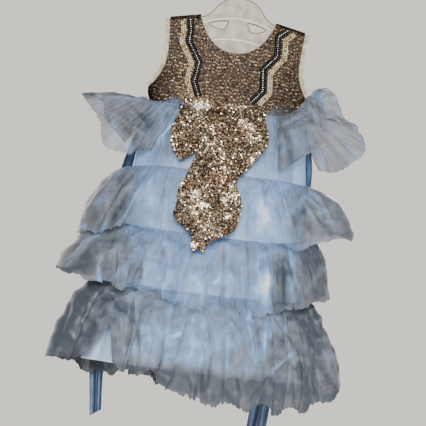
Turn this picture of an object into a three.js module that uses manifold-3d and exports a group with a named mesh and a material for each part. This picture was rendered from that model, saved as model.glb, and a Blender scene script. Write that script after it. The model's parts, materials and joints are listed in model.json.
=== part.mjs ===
// A girl's sleeveless party dress on a moulded plastic hanger, in millimetres, +Z up.
//
// The origin is where a rail or nail carries the hanger's hook. +X is to the right as seen from the
// front, and the front faces -Y. The bodice is sequinned cloth, shut flat over the hanger. A satin
// underskirt hangs from the waist seam and carries three gathered organza tiers. A waist flounce
// hangs in front and behind, and stands out as a wing at each side. A cut sequin tail falls over the
// front from the waist, and two satin ties hang from the side seams behind the skirt.

import * as THREE from "three";
import { mergeVertices } from "three/addons/utils/BufferGeometryUtils.js";
import Module from "manifold-3d";

const wasm = await Module();
wasm.setup();

// ---------------------------------------------------------------- driving dimensions

const SEAM_GAP = 0.3; // between two pieces that are sewn together
const SEQUIN_CLOTH = 1.8; // sequinned net with its backing
const SATIN = 1.3;
const ORGANZA = 1.2;
const NET = 1.0;

const SHOULDER_Z = -97; // inner end of the shoulder seam
const SHOULDER_SLOPE = 0.204; // fall for each millimetre outwards
const STRAP_INNER = 68; // the strap's inner edge at the shoulder, from the middle
const WAIST_Z = -262;
const NECK_HALF_WIDTH = 63;
const NECK_FLARE = 5; // the neckline opens this much more at the shoulder
const NECK_FLARE_DEPTH = 25;
const FRONT_NECK_DEPTH = 63;
const BACK_NECK_DEPTH = 53;
const BODICE_DEPTH = 20; // half the bodice's depth at the middle
const SHOULDER_ROUND = 8; // the cloth turns over the hanger within this height
const UNDERARM_Z = -238;

// The bodice's outer edge: the armhole down to the underarm, and the side seam below it.
const BODICE_EDGE = [
  { level: -97, x: 122 },
  { level: -130, x: 120 },
  { level: -160, x: 118.5 },
  { level: -185, x: 119.5 },
  { level: -207, x: 126 },
  { level: -226, x: 137 },
  { level: -238, x: 146 },
  { level: -250, x: 145 },
  { level: -262, x: 140 },
];

// The satin underskirt: half its width and half its depth.
const UNDERSKIRT = [
  { z: -262, halfWidth: 140, halfDepth: 20 },
  { z: -300, halfWidth: 146, halfDepth: 26 },
  { z: -386, halfWidth: 158, halfDepth: 33 },
  { z: -502, halfWidth: 172, halfDepth: 43 },
  { z: -600, halfWidth: 184, halfDepth: 51 },
  { z: -736, halfWidth: 208, halfDepth: 60 },
];
const UNDERSKIRT_HEM_Z = -736;

// Organza rings. angle: round the skirt, 0 at +X, 90 at the back, 180 at -X, 270 at the front.
// root: height of the gathering seam. reach: how far the hem stands off the underskirt.
// drop: the tier's height. puff: under 1 the side rounds out at once, over 1 it flares like a bell.
const TIERS = {
  tier_1: {
    folds: 18,
    foldDepth: 8,
    hemWave: 5,
    seed: 0.4,
    rows: [
      { angle: 0, root: -383, reach: 84, drop: 74, puff: 0.95 },
      { angle: 40, root: -380, reach: 44, drop: 112, puff: 1 },
      { angle: 90, root: -376, reach: 28, drop: 128, puff: 1 },
      { angle: 140, root: -380, reach: 44, drop: 118, puff: 1 },
      { angle: 180, root: -386, reach: 74, drop: 118, puff: 0.95 },
      { angle: 225, root: -376, reach: 48, drop: 124, puff: 1 },
      { angle: 270, root: -376, reach: 40, drop: 130, puff: 1 },
      { angle: 315, root: -377, reach: 48, drop: 113, puff: 1 },
    ],
  },
  tier_2: {
    folds: 19,
    foldDepth: 7,
    hemWave: 6,
    seed: 2.1,
    rows: [
      { angle: 0, root: -474, reach: 50, drop: 104, puff: 0.85 },
      { angle: 40, root: -488, reach: 38, drop: 108, puff: 1 },
      { angle: 90, root: -490, reach: 27, drop: 116, puff: 1.1 },
      { angle: 140, root: -488, reach: 38, drop: 108, puff: 1 },
      { angle: 180, root: -486, reach: 96, drop: 100, puff: 1.15 },
      { angle: 225, root: -488, reach: 52, drop: 112, puff: 1.2 },
      { angle: 270, root: -490, reach: 40, drop: 128, puff: 1.2 },
      { angle: 315, root: -488, reach: 44, drop: 112, puff: 1.1 },
    ],
  },
  tier_3: {
    folds: 20,
    foldDepth: 8,
    hemWave: 7,
    seed: 4.4,
    rows: [
      { angle: 0, root: -576, reach: 58, drop: 152, puff: 1.6 },
      { angle: 40, root: -592, reach: 38, drop: 172, puff: 1.3 },
      { angle: 90, root: -594, reach: 27, drop: 178, puff: 1.2 },
      { angle: 140, root: -592, reach: 38, drop: 168, puff: 1.2 },
      { angle: 180, root: -588, reach: 62, drop: 140, puff: 0.8 },
      { angle: 212, root: -590, reach: 54, drop: 146, puff: 1 },
      { angle: 236, root: -592, reach: 44, drop: 166, puff: 1.2 },
      { angle: 250, root: -594, reach: 40, drop: 156, puff: 1.3 },
      { angle: 276, root: -594, reach: 40, drop: 184, puff: 1.3 },
      { angle: 310, root: -592, reach: 44, drop: 186, puff: 1.3 },
      { angle: 340, root: -590, reach: 52, drop: 170, puff: 1.5 },
    ],
  },
};
const RING_COLUMNS = 96;
const TIER_ROWS = 4;
const RING_SHAPE = { halfWidth: 230, halfDepth: 95 }; // spaces the folds evenly round the skirt

// The waist flounce where it hangs, as part of a ring from one angle to the other.
const FLOUNCES = {
  flounce_front: {
    from: 214,
    to: 326,
    columns: 36,
    folds: 21,
    foldDepth: 3.5,
    hemWave: 3,
    seed: 1.2,
    rows: [
      { angle: 214, root: -264, reach: 15, drop: 106, puff: 1.2 },
      { angle: 240, root: -264, reach: 24, drop: 116, puff: 1.5 },
      { angle: 270, root: -264, reach: 29, drop: 122, puff: 1.6 },
      { angle: 300, root: -264, reach: 24, drop: 116, puff: 1.5 },
      { angle: 326, root: -264, reach: 15, drop: 106, puff: 1.2 },
    ],
  },
  flounce_back: {
    from: 34,
    to: 146,
    columns: 36,
    folds: 21,
    foldDepth: 3,
    hemWave: 3,
    seed: 3.2,
    rows: [
      { angle: 34, root: -264, reach: 11, drop: 104, puff: 1 },
      { angle: 90, root: -264, reach: 11, drop: 112, puff: 1 },
      { angle: 146, root: -264, reach: 11, drop: 104, puff: 1 },
    ],
  },
};
const FLOUNCE_ROWS = 3;

// The standing flounces. angle: where the root meets the waist seam. hem: the free edge.
// lift and out: how far the cloth rises and stands out on its way.
const WINGS = {
  wing_left: [
    { angle: 232, hemX: -124, hemY: -48, hemZ: -342, lift: 4, out: 22 },
    { angle: 222, hemX: -160, hemY: -66, hemZ: -362, lift: 12, out: 34 },
    { angle: 211, hemX: -203, hemY: -44, hemZ: -360, lift: 16, out: 40 },
    { angle: 200, hemX: -222, hemY: -62, hemZ: -318, lift: 18, out: 46 },
    { angle: 190, hemX: -240, hemY: -30, hemZ: -288, lift: 20, out: 48 },
    { angle: 181, hemX: -263, hemY: -22, hemZ: -262, lift: 20, out: 50 },
    { angle: 171, hemX: -228, hemY: 10, hemZ: -274, lift: 16, out: 44 },
    { angle: 160, hemX: -212, hemY: 34, hemZ: -306, lift: 10, out: 38 },
    { angle: 148, hemX: -176, hemY: 44, hemZ: -338, lift: 6, out: 28 },
  ],
  wing_right: [
    { angle: 308, hemX: 104, hemY: -54, hemZ: -362, lift: 6, out: 26 },
    { angle: 315, hemX: 142, hemY: -76, hemZ: -330, lift: 20, out: 36 },
    { angle: 322, hemX: 178, hemY: -62, hemZ: -292, lift: 36, out: 42 },
    { angle: 329, hemX: 168, hemY: -66, hemZ: -240, lift: 54, out: 40 },
    { angle: 336, hemX: 164, hemY: -44, hemZ: -207, lift: 60, out: 38 },
    { angle: 344, hemX: 189, hemY: -24, hemZ: -213, lift: 52, out: 40 },
    { angle: 352, hemX: 209, hemY: -16, hemZ: -252, lift: 36, out: 44 },
    { angle: 360, hemX: 238, hemY: -4, hemZ: -272, lift: 24, out: 48 },
    { angle: 368, hemX: 255, hemY: 8, hemZ: -294, lift: 16, out: 48 },
    { angle: 377, hemX: 240, hemY: 2, hemZ: -322, lift: 12, out: 44 },
    { angle: 385, hemX: 208, hemY: 30, hemZ: -346, lift: 8, out: 36 },
    { angle: 392, hemX: 176, hemY: 42, hemZ: -350, lift: 6, out: 28 },
  ],
};
const WING_COLUMNS = 24;
const WING_ROWS = 5;
const WING_ROOT_OUT = 2.2; // outside the hanging flounce's own root

// The sequin tail's cut edge, clockwise from its top left corner, and how far forward it lies.
const TAIL_OUTLINE = [
  [-74, -252], [-85, -281], [-94, -300], [-95.5, -319], [-91, -337], [-83, -352], [-73, -361],
  [-58, -352.5], [-45, -343], [-50, -362], [-58, -385], [-67, -407], [-70, -420], [-69, -433],
  [-71, -448], [-73, -460], [-65, -471], [-50, -481], [-39, -490], [-35, -499], [-35.5, -511],
  [-32, -519], [-22, -516], [-11, -519], [-8, -510], [2, -498], [18, -489], [32, -480],
  [40, -470], [44.5, -452], [45.5, -434], [41.5, -416], [34.5, -402], [31, -388], [37, -376.5],
  [47, -366], [56, -354], [65, -340.5], [74, -325], [78.5, -313], [78, -300], [72.5, -284],
  [67, -268], [62, -252],
];
const TAIL_FRONT = [
  { z: -250, forward: 20.7 },
  { z: -262, forward: 23 },
  { z: -275, forward: 36 },
  { z: -300, forward: 51 },
  { z: -330, forward: 62 },
  { z: -366, forward: 69 },
  { z: -390, forward: 73 },
  { z: -430, forward: 82 },
  { z: -470, forward: 91 },
  { z: -524, forward: 97 },
];
const TAIL_BEND = 0.35 / 150 ** 2; // how fast it falls back from the middle to the sides

// Beaded bands down the front: the middle line of each, from the shoulder to the waist.
const BANDS = {
  band_cream_left: {
    width: 9.5,
    line: [[-99, -109.5], [-95, -130], [-96, -151], [-74.5, -185.5], [-78.5, -217.5], [-66.5, -247]],
  },
  band_black_left: {
    width: 12,
    line: [[-86, -107], [-82, -128.5], [-83, -148], [-60.5, -183], [-65.5, -218.5], [-53, -247]],
  },
  band_black_right: {
    width: 12,
    line: [[91, -107], [75, -120], [77, -156], [54.5, -183], [58.5, -221], [39.5, -245]],
  },
  band_cream_right: {
    width: 9.5,
    line: [[104, -112.5], [89, -125.5], [90.5, -158.5], [68.5, -187], [71.5, -224.5], [54.5, -246]],
  },
};
const BAND_THICK = 1.4;
const BAND_STEP = 8;

// The satin ties: the middle line and the width at each height.
const TIES = {
  tie_left: [
    { x: -135.2, y: 7, z: -266, width: 9, turn: -25.5 },
    { x: -143, y: 17, z: -300, width: 24, turn: -25 },
    { x: -152, y: 27, z: -345, width: 32, turn: -15 },
    { x: -160, y: 48, z: -384, width: 36, turn: -8 },
    { x: -168, y: 76, z: -430, width: 36, turn: -8 },
    { x: -177, y: 88, z: -500, width: 34, turn: -6 },
    { x: -181, y: 92, z: -600, width: 32, turn: 0 },
    { x: -182, y: 90, z: -737, width: 27, turn: 8 },
    { x: -173, y: 88, z: -838, width: 20, turn: 14 },
  ],
  tie_right: [
    { x: 135.2, y: 7, z: -266, width: 9, turn: 25.5 },
    { x: 143, y: 17, z: -300, width: 24, turn: 25 },
    { x: 149, y: 29, z: -345, width: 32, turn: 15 },
    { x: 148, y: 52, z: -384, width: 38, turn: 8 },
    { x: 141, y: 76, z: -430, width: 40, turn: 8 },
    { x: 135, y: 86, z: -500, width: 38, turn: 6 },
    { x: 131, y: 92, z: -600, width: 37, turn: 0 },
    { x: 128, y: 92, z: -737, width: 36, turn: -6 },
    { x: 122, y: 90, z: -846, width: 36, turn: -4 },
  ],
};
const TIE_ROWS = 24;

const BUTTON = { x: 7.5, z: -159, radius: 5.5, thick: 2.6 };

const FRILL_WIDTH = 7;
const FRILL_WAVE = 1.6;
const FRILL_WAVES = 15;

const HOOK_INNER = 17; // radius of the hook's throat
const HOOK_BAR = 6;
const HANGER_THICK = 5.6;
const HANGER_BEVEL = 1.6;
const HANGER_SEAT = 0.7; // the arms lie this far under the shoulder cloth
const HANGER_REACH = 116;
const RIB_PROUD = 1;

const COLOURS = {
  sequins: { color: 0x8f6f52, roughness: 0.35, metalness: 0.6 },
  black: { color: 0x1c1a18, roughness: 0.3, metalness: 0.1 },
  cream: { color: 0xd9ccb0, roughness: 0.4, metalness: 0.2 },
  net: { color: 0xe0d8c8, roughness: 0.9, metalness: 0 },
  satin: { color: 0x8fb2d6, roughness: 0.35, metalness: 0 },
  organza: { color: 0x8796a8, roughness: 0.7, metalness: 0 },
  button: { color: 0xd8cfbd, roughness: 0.3, metalness: 0 },
  hanger: { color: 0xc9c6b8, roughness: 0.25, metalness: 0 },
};

// ---------------------------------------------------------------- tables and solids

/** One column of a table at a place between its rows, on a smooth curve through them. */
function read(rows, key, column, at) {
  const last = rows.length - 1;
  let i = rows.findIndex((row, n) => n < last && between(at, row[key], rows[n + 1][key]));
  if (i < 0) {
    const rising = rows[last][key] > rows[0][key];
    i = at > rows[0][key] === rising ? last - 1 : 0;
  }
  const [p0, p1, p2, p3] = [i - 1, i, i + 1, i + 2].map((n) => rows[Math.min(Math.max(n, 0), last)]);
  const t = Math.min(Math.max((at - p1[key]) / (p2[key] - p1[key]), 0), 1);
  const slope = (a, b) => (a === b ? 0 : (b[column] - a[column]) / (b[key] - a[key]));
  const step = p2[key] - p1[key];
  const m1 = step * slope(p0, p2);
  const m2 = step * slope(p1, p3);
  return (
    p1[column] * (2 * t ** 3 - 3 * t ** 2 + 1) +
    m1 * (t ** 3 - 2 * t ** 2 + t) +
    p2[column] * (3 * t ** 2 - 2 * t ** 3) +
    m2 * (t ** 3 - t ** 2)
  );
}

function between(at, a, b) {
  return at >= Math.min(a, b) && at <= Math.max(a, b);
}

/** The rows of a ring's table once more before and after a full turn, so that it reads round. */
function allRound(rows) {
  const turned = (by) => rows.map((row) => ({ ...row, angle: row.angle + by }));
  return [...turned(-360), ...rows, ...turned(360)];
}

/** Angles (degrees) spaced evenly along an ellipse of RING_SHAPE's proportions. */
function ringAngles() {
  const steps = 1440;
  const lengths = [0];
  const at = (i) => {
    const a = (i / steps) * Math.PI * 2;
    return [RING_SHAPE.halfWidth * Math.cos(a), RING_SHAPE.halfDepth * Math.sin(a)];
  };
  for (let i = 1; i <= steps; i++) {
    const [p, q] = [at(i - 1), at(i)];
    lengths.push(lengths[i - 1] + Math.hypot(q[0] - p[0], q[1] - p[1]));
  }
  return { steps, lengths, total: lengths[steps] };
}
const RING = ringAngles();

/** How far round the ring an angle in degrees is, as a share of the whole length. */
function shareAt(angle) {
  const turns = Math.floor(angle / 360);
  const place = (angle / 360 - turns) * RING.steps;
  const i = Math.min(Math.floor(place), RING.steps - 1);
  const length = RING.lengths[i] + (place - i) * (RING.lengths[i + 1] - RING.lengths[i]);
  return turns + length / RING.total;
}

/** The angle in degrees at a share of the ring's length. */
function angleAt(share) {
  const turns = Math.floor(share);
  const wanted = (share - turns) * RING.total;
  const i = Math.max(RING.lengths.findIndex((length) => length >= wanted), 1);
  const part = (wanted - RING.lengths[i - 1]) / (RING.lengths[i] - RING.lengths[i - 1]);
  return 360 * (turns + (i - 1 + part) / RING.steps);
}

/** A mesh's signed volume, which is negative when its faces point inwards. */
function volumeOf(positions, triangles) {
  let sum = 0;
  for (let t = 0; t < triangles.length; t += 3) {
    const [a, b, c] = [0, 1, 2].map((k) => positions[triangles[t + k]]);
    sum += a.dot(new THREE.Vector3().crossVectors(b, c));
  }
  return sum / 6;
}

/** A closed solid between two matching skins, walled along every edge that one face alone uses. */
function between2Skins(outer, inner, quads) {
  const shift = outer.length;
  const triangles = [];
  const used = new Map();
  for (const [a, b, c, d] of quads) {
    for (const [p, q, r] of [[a, b, c], [a, c, d]]) {
      if (p === q || q === r || r === p) continue;
      triangles.push(p, q, r, shift + p, shift + r, shift + q);
      for (const [s, e] of [[p, q], [q, r], [r, p]]) used.set(s + "," + e, [s, e]);
    }
  }
  for (const [s, e] of used.values()) {
    if (used.has(e + "," + s)) continue;
    triangles.push(s, shift + s, e, e, shift + s, shift + e);
  }
  const positions = [...outer, ...inner];
  if (volumeOf(positions, triangles) < 0) triangles.reverse();
  const geometry = new THREE.BufferGeometry();
  const flat = new Float32Array(positions.flatMap((p) => [p.x, p.y, p.z]));
  geometry.setAttribute("position", new THREE.BufferAttribute(flat, 3));
  geometry.setIndex(triangles);
  geometry.computeVertexNormals();
  return geometry;
}

/** The quads of a grid of rows by columns; a closed grid's last column joins its first. */
function gridQuads(columns, rows, closed) {
  const quads = [];
  const spans = closed ? columns : columns - 1;
  for (let j = 0; j < rows - 1; j++) {
    for (let i = 0; i < spans; i++) {
      const next = (i + 1) % columns;
      quads.push([j * columns + i, j * columns + next, (j + 1) * columns + next, (j + 1) * columns + i]);
    }
  }
  return quads;
}

/** A wall from a function of (column, row, inset), where inset is the way into the cloth. */
function wall(columns, rows, closed, thickness, pointAt) {
  const skin = (inset) =>
    Array.from({ length: columns * rows }, (_, n) =>
      pointAt(n % columns, Math.floor(n / columns), inset),
    );
  return between2Skins(skin(0), skin(thickness), gridQuads(columns, rows, closed));
}

/** A sheet of the given thickness about a grid of points, thickened along its own normals. */
function sheet(columns, rows, closed, thickness, pointAt) {
  const point = (i, j) => {
    const column = closed ? (i + columns) % columns : Math.min(Math.max(i, 0), columns - 1);
    return pointAt(column, Math.min(Math.max(j, 0), rows - 1));
  };
  return wall(columns, rows, closed, thickness, (i, j, inset) => {
    const across = point(i + 1, j).sub(point(i - 1, j));
    const along = point(i, j + 1).sub(point(i, j - 1));
    const normal = across.cross(along).normalize();
    return point(i, j).addScaledVector(normal, thickness / 2 - inset);
  });
}

function solidOf(geometry) {
  geometry.deleteAttribute("normal");
  geometry.deleteAttribute("uv");
  const merged = mergeVertices(geometry, 1e-4);
  return new wasm.Manifold(
    new wasm.Mesh({
      numProp: 3,
      vertProperties: merged.attributes.position.array,
      triVerts: new Uint32Array(merged.index.array),
    }),
  );
}

function geometryOf(solid) {
  const mesh = solid.getMesh();
  const geometry = new THREE.BufferGeometry();
  geometry.setAttribute("position", new THREE.BufferAttribute(mesh.vertProperties, 3));
  geometry.setIndex(new THREE.BufferAttribute(mesh.triVerts, 1));
  geometry.computeVertexNormals();
  return geometry;
}

/** A shape drawn as (x, -z) and pushed through from one y to the other. */
function prism(shape, fromY, toY, bevel = 0) {
  const geometry = new THREE.ExtrudeGeometry(shape, {
    depth: toY - fromY - 2 * bevel,
    bevelEnabled: bevel > 0,
    bevelThickness: bevel,
    bevelSize: bevel,
    bevelOffset: -bevel,
    bevelSegments: 1,
    curveSegments: 6,
  });
  geometry.rotateX(-Math.PI / 2);
  geometry.translate(0, fromY + bevel, 0);
  return geometry;
}

const dress = new THREE.Group();

function add(name, geometry, finish) {
  const mesh = new THREE.Mesh(geometry, new THREE.MeshStandardMaterial(COLOURS[finish]));
  mesh.name = name;
  dress.add(mesh);
}

// ---------------------------------------------------------------- bodice

function shoulderZ(x) {
  return SHOULDER_Z - SHOULDER_SLOPE * (Math.abs(x) - STRAP_INNER);
}

/** The neckline's distance from the middle at a height level, for a neck of that depth. */
function neckX(level, depth) {
  const down = SHOULDER_Z - level;
  if (down >= depth) return 0;
  const flare = NECK_FLARE * Math.max(1 - down / NECK_FLARE_DEPTH, 0);
  return NECK_HALF_WIDTH * Math.sqrt(1 - (down / depth) ** 2) + flare;
}

function bodiceEdge(level) {
  return read(BODICE_EDGE, "level", "x", level);
}

/** Half the bodice's depth: rounded to nothing at the side seam and over the shoulder. */
function bodiceHalfDepth(x, z, inset) {
  const level = Math.max(z, WAIST_Z);
  const side = level > UNDERARM_Z ? 146 + 0.2 * (level - UNDERARM_Z) : bodiceEdge(level);
  const across = Math.min(Math.abs(x) / (side - inset), 1);
  const below = Math.max(shoulderZ(x) - inset - z, 0);
  const over = 1 - Math.min(below / SHOULDER_ROUND, 1);
  const thin = 1 - 0.4 * THREE.MathUtils.smoothstep(z, -175, -105);
  return (BODICE_DEPTH * thin - inset) * (1 - across ** 2.6) ** (1 / 2.6) * Math.sqrt(1 - over ** 2);
}

/** Height levels of the bodice's rows, closer together where the cloth turns over the shoulder. */
function bodiceLevels(neckDepth) {
  const neckFoot = SHOULDER_Z - neckDepth;
  const top = [0, 1.2, 4, 9, 18, 28, 38, 47].map((down) => SHOULDER_Z - down);
  const scoop = [neckFoot + 6, neckFoot + 1.6, neckFoot];
  const chest = [-174, -188, -204, -218, -230, UNDERARM_Z, -250, WAIST_Z];
  return [...top.filter((level) => level > neckFoot + 8), ...scoop, ...chest];
}

/** One side of a bodice panel. side is -1 or 1 across, and facing is -1 in front and 1 behind. */
function halfPanel(side, facing, neckDepth, columns, middleGap) {
  const levels = bodiceLevels(neckDepth);
  const skin = (inset) =>
    levels.flatMap((level) =>
      Array.from({ length: columns }, (_, i) => {
        const from = Math.max(neckX(level, neckDepth), middleGap);
        const x = from + ((bodiceEdge(level) - from) * i) / (columns - 1);
        const flat = Math.min((SHOULDER_Z - level) / 60, 1);
        const z = level + (shoulderZ(x) - SHOULDER_Z) * (1 - flat);
        const under = Math.max(1 - (shoulderZ(x) - z) / SHOULDER_ROUND, 0);
        const atSide = level <= UNDERARM_Z ? i / (columns - 1) : 0;
        const placed = x - inset * atSide ** 6;
        const height = z - inset * under;
        const depth = bodiceHalfDepth(placed, height, inset);
        return new THREE.Vector3(side * placed, facing * (depth + SEAM_GAP / 2), height);
      }),
    );
  return { outer: skin(0), inner: skin(SEQUIN_CLOTH), quads: gridQuads(columns, levels.length, false) };
}

/** The front in one piece: its two sides share the points of the middle line below the neck. */
function bodiceFront() {
  const halves = [-1, 1].map((side) => halfPanel(side, -1, FRONT_NECK_DEPTH, 9, 0));
  const keys = new Map();
  const outer = [];
  const inner = [];
  const index = halves.map(({ outer: skin, inner: back }) =>
    skin.map((point, n) => {
      const key = [point.x + 0, point.y, point.z].map((value) => Math.round(value * 1e3) + 0).join();
      if (!keys.has(key)) {
        keys.set(key, outer.length);
        outer.push(point);
        inner.push(back[n]);
      }
      return keys.get(key);
    }),
  );
  const [left, right] = halves.map(({ quads }, h) => quads.map((quad) => quad.map((n) => index[h][n])));
  return between2Skins(outer, inner, [...left.map((quad) => quad.toReversed()), ...right]);
}

function bodiceBack(side) {
  const { outer, inner, quads } = halfPanel(side, 1, BACK_NECK_DEPTH, 8, SEAM_GAP / 2);
  return between2Skins(outer, inner, quads);
}

/** How far forward the front panel's cloth comes within a few millimetres of a place on it. */
function frontReach(panel, x, z) {
  const near = [-BAND_STEP / 2, 0, BAND_STEP / 2];
  const hits = near.flatMap((dx) =>
    near.flatMap((dz) => {
      const ray = new THREE.Raycaster(new THREE.Vector3(x + dx, -200, z + dz), new THREE.Vector3(0, 1, 0));
      return ray.intersectObject(panel).slice(0, 1);
    }),
  );
  return Math.max(...hits.map((hit) => -hit.point.y));
}

/** A flat band with mitred corners, lying on the bodice's front along a line of (x, z) points. */
function beadBand(panel, { line, width }) {
  const points = line.map(([x, z]) => new THREE.Vector2(x, z));
  const turns = points.map((point, n) => {
    const before = point.clone().sub(points[Math.max(n - 1, 0)]).normalize();
    const after = points[Math.min(n + 1, points.length - 1)].clone().sub(point).normalize();
    const along = before.add(after).normalize();
    const cut = n && n < points.length - 1 ? along.dot(points[n + 1].clone().sub(point).normalize()) : 1;
    return new THREE.Vector2(-along.y, along.x).divideScalar(cut);
  });
  const stations = [];
  points.slice(1).forEach((end, n) => {
    const start = points[n];
    const steps = Math.ceil(start.distanceTo(end) / BAND_STEP);
    for (let k = n ? 1 : 0; k <= steps; k++) {
      stations.push([start.clone().lerp(end, k / steps), turns[n].clone().lerp(turns[n + 1], k / steps)]);
    }
  });
  return wall(3, stations.length, false, BAND_THICK, (i, j, inset) => {
    const [middle, across] = stations[j];
    const { x, y: z } = middle.clone().addScaledVector(across, (i - 1) * (width / 2));
    return new THREE.Vector3(x, inset - frontReach(panel, x, z) - SEAM_GAP - BAND_THICK, z);
  });
}

/** A waved strip of net that stands off the whole armhole edge, front and back. */
function armholeFrill(side) {
  const levels = [-100, -108, -120, -134, -148, -162, -176, -190, -203, -214, -224, -231, -236.5];
  const edge = (facing) => (level) => {
    const x = bodiceEdge(level);
    const flat = Math.min((SHOULDER_Z - level) / 60, 1);
    const z = level + (shoulderZ(x) - SHOULDER_Z) * (1 - flat);
    const depth = Math.max(bodiceHalfDepth(x, z, 0) - SEQUIN_CLOTH / 2, 2.2);
    return new THREE.Vector3(side * x, facing * depth, z);
  };
  const loop = [...levels.map(edge(-1)), ...levels.toReversed().map(edge(1))];
  const curve = new THREE.CatmullRomCurve3(loop, true, "centripetal");
  const columns = 52;
  const outward = (point) => {
    const low = THREE.MathUtils.smoothstep(-point.z, 200, 232);
    return new THREE.Vector3(side * (1 - 0.35 * low), 0, 0.65 * low).normalize();
  };
  return sheet(columns, 3, true, NET, (i, j) => {
    const point = curve.getPointAt(i / columns);
    const width = SEAM_GAP + 0.4 + (FRILL_WIDTH * j) / 2;
    const wave = FRILL_WAVE * (j / 2) * Math.sin((i / columns) * Math.PI * 2 * FRILL_WAVES);
    const away = new THREE.Vector3(0, Math.sign(point.y) * wave * Math.min(Math.abs(point.y) / 4, 1), 0);
    return point.addScaledVector(outward(point), width).add(away);
  });
}

/** The button that shuts the slit at the back of the neck, on the right half. */
function backButton() {
  const { x, z, radius, thick } = BUTTON;
  const button = new THREE.CylinderGeometry(radius, radius * 0.9, thick, 20);
  button.translate(x, bodiceHalfDepth(0, z, 0) + SEAM_GAP * 1.7 + thick / 2, z);
  return button;
}

// ---------------------------------------------------------------- skirt

/** The underskirt's surface at an angle and height, moved out along its own normal. */
function skirtPoint(angle, z, out) {
  const level = Math.min(z, WAIST_Z);
  const halfWidth = read(UNDERSKIRT, "z", "halfWidth", level);
  const halfDepth = read(UNDERSKIRT, "z", "halfDepth", level);
  const turn = THREE.MathUtils.degToRad(angle);
  const normal = new THREE.Vector2(Math.cos(turn) / halfWidth, Math.sin(turn) / halfDepth).normalize();
  return new THREE.Vector3(
    halfWidth * Math.cos(turn) + normal.x * out,
    halfDepth * Math.sin(turn) + normal.y * out,
    z,
  );
}

function underskirt() {
  const columns = 48;
  const levels = [-262.3, -300, -386, -500, -600, UNDERSKIRT_HEM_Z];
  return wall(columns, levels.length, true, SATIN, (i, j, inset) => {
    const share = i / columns;
    const fall = (levels[j] - WAIST_Z) / (UNDERSKIRT_HEM_Z - WAIST_Z);
    const fold = -3 * fall ** 2 * (1 + Math.cos(share * Math.PI * 2 * 9 + Math.sin(share * 12) * 0.8));
    return skirtPoint(angleAt(share), levels[j], fold - inset);
  });
}

/** How far into a fold a share of the ring is: an uneven wave, 1 on a ridge and -1 in a trough. */
function foldPhase({ folds, seed }, share) {
  const turn = share * Math.PI * 2;
  return folds * turn + 0.9 * Math.sin(3 * turn + seed) + 0.6 * Math.sin(7 * turn + 2 * seed);
}

/** A gathered tier's surface: fall is 0 at the seam and 1 at the hem. */
function tierPoint(tier, rows, share, fall, inset) {
  const angle = angleAt(share);
  const row = (column) => read(rows, "angle", column, angle);
  const lean = (fall * Math.PI) / 2;
  const phase = foldPhase(tier, share);
  const size = 0.75 + 0.25 * Math.sin(5 * share * Math.PI * 2 + tier.seed);
  const fold = tier.foldDepth * size * Math.sin(lean) * Math.sin(phase);
  const out = SEAM_GAP * 1.5 + ORGANZA + (row("reach") - 2) * Math.sin(lean) ** row("puff") + fold;
  const hem = tier.hemWave * Math.sin(lean) ** 2 * Math.cos(phase + 0.8);
  const z = row("root") - row("drop") * (1 - Math.cos(lean)) + hem;
  return skirtPoint(angle, z, out - inset);
}

/** Shares of the fall for the rows of a tier, closer together where it turns out of the seam. */
function falls(rows) {
  return Array.from({ length: rows + 1 }, (_, j) => (j / rows) ** 0.9);
}

function tierRing(tier) {
  const rows = allRound(tier.rows);
  const steps = falls(TIER_ROWS);
  return wall(RING_COLUMNS, steps.length, true, ORGANZA, (i, j, inset) =>
    tierPoint(tier, rows, i / RING_COLUMNS, steps[j], inset),
  );
}

function hangingFlounce(tier) {
  const steps = falls(FLOUNCE_ROWS);
  const [start, end] = [shareAt(tier.from), shareAt(tier.to)];
  return wall(tier.columns + 1, steps.length, false, ORGANZA, (i, j, inset) =>
    tierPoint(tier, tier.rows, start + ((end - start) * i) / tier.columns, steps[j], inset),
  );
}

/** A standing flounce: each line runs from the waist seam up and out, and then to the hem. */
function wing(rows) {
  const table = rows.map((row, n) => ({ ...row, n }));
  return sheet(WING_COLUMNS + 1, WING_ROWS + 1, false, ORGANZA, (i, j) => {
    const at = (i / WING_COLUMNS) * (rows.length - 1);
    const row = (column) => read(table, "n", column, at);
    const t = j / WING_ROWS;
    const root = skirtPoint(row("angle"), WAIST_Z - 3.2, WING_ROOT_OUT + ORGANZA);
    const turned = skirtPoint(row("angle"), WAIST_Z - 3.2, row("out"));
    turned.z += row("lift");
    const hem = new THREE.Vector3(row("hemX"), row("hemY"), row("hemZ"));
    return root
      .multiplyScalar((1 - t) ** 2)
      .addScaledVector(turned, 2 * t * (1 - t))
      .addScaledVector(hem, t ** 2);
  });
}

// ---------------------------------------------------------------- sequin tail, ties and hanger

/** The tail is cut to its outline from a sheet that lies over the flounce and the first tier. */
function sequinTail() {
  const [columns, rows] = [13, 20];
  const [left, right, top, foot] = [-104, 88, -246, -526];
  const draped = wall(columns, rows, false, SEQUIN_CLOTH, (i, j, inset) => {
    const x = left + ((right - left) * i) / (columns - 1);
    const z = top + ((foot - top) * j) / (rows - 1);
    const loose = THREE.MathUtils.smoothstep(-z, 270, 340);
    const crease = 1.4 * loose * (1 + Math.sin(x / 15 + z / 34));
    const forward = read(TAIL_FRONT, "z", "forward", z) * (1 - TAIL_BEND * x * x) + crease;
    return new THREE.Vector3(x, -forward - SEQUIN_CLOTH + inset, z);
  });
  const outline = new THREE.Shape(TAIL_OUTLINE.map(([x, z]) => new THREE.Vector2(x, -z)));
  const cutter = prism(outline, -160, 0);
  return geometryOf(solidOf(draped).intersect(solidOf(cutter)));
}

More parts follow.
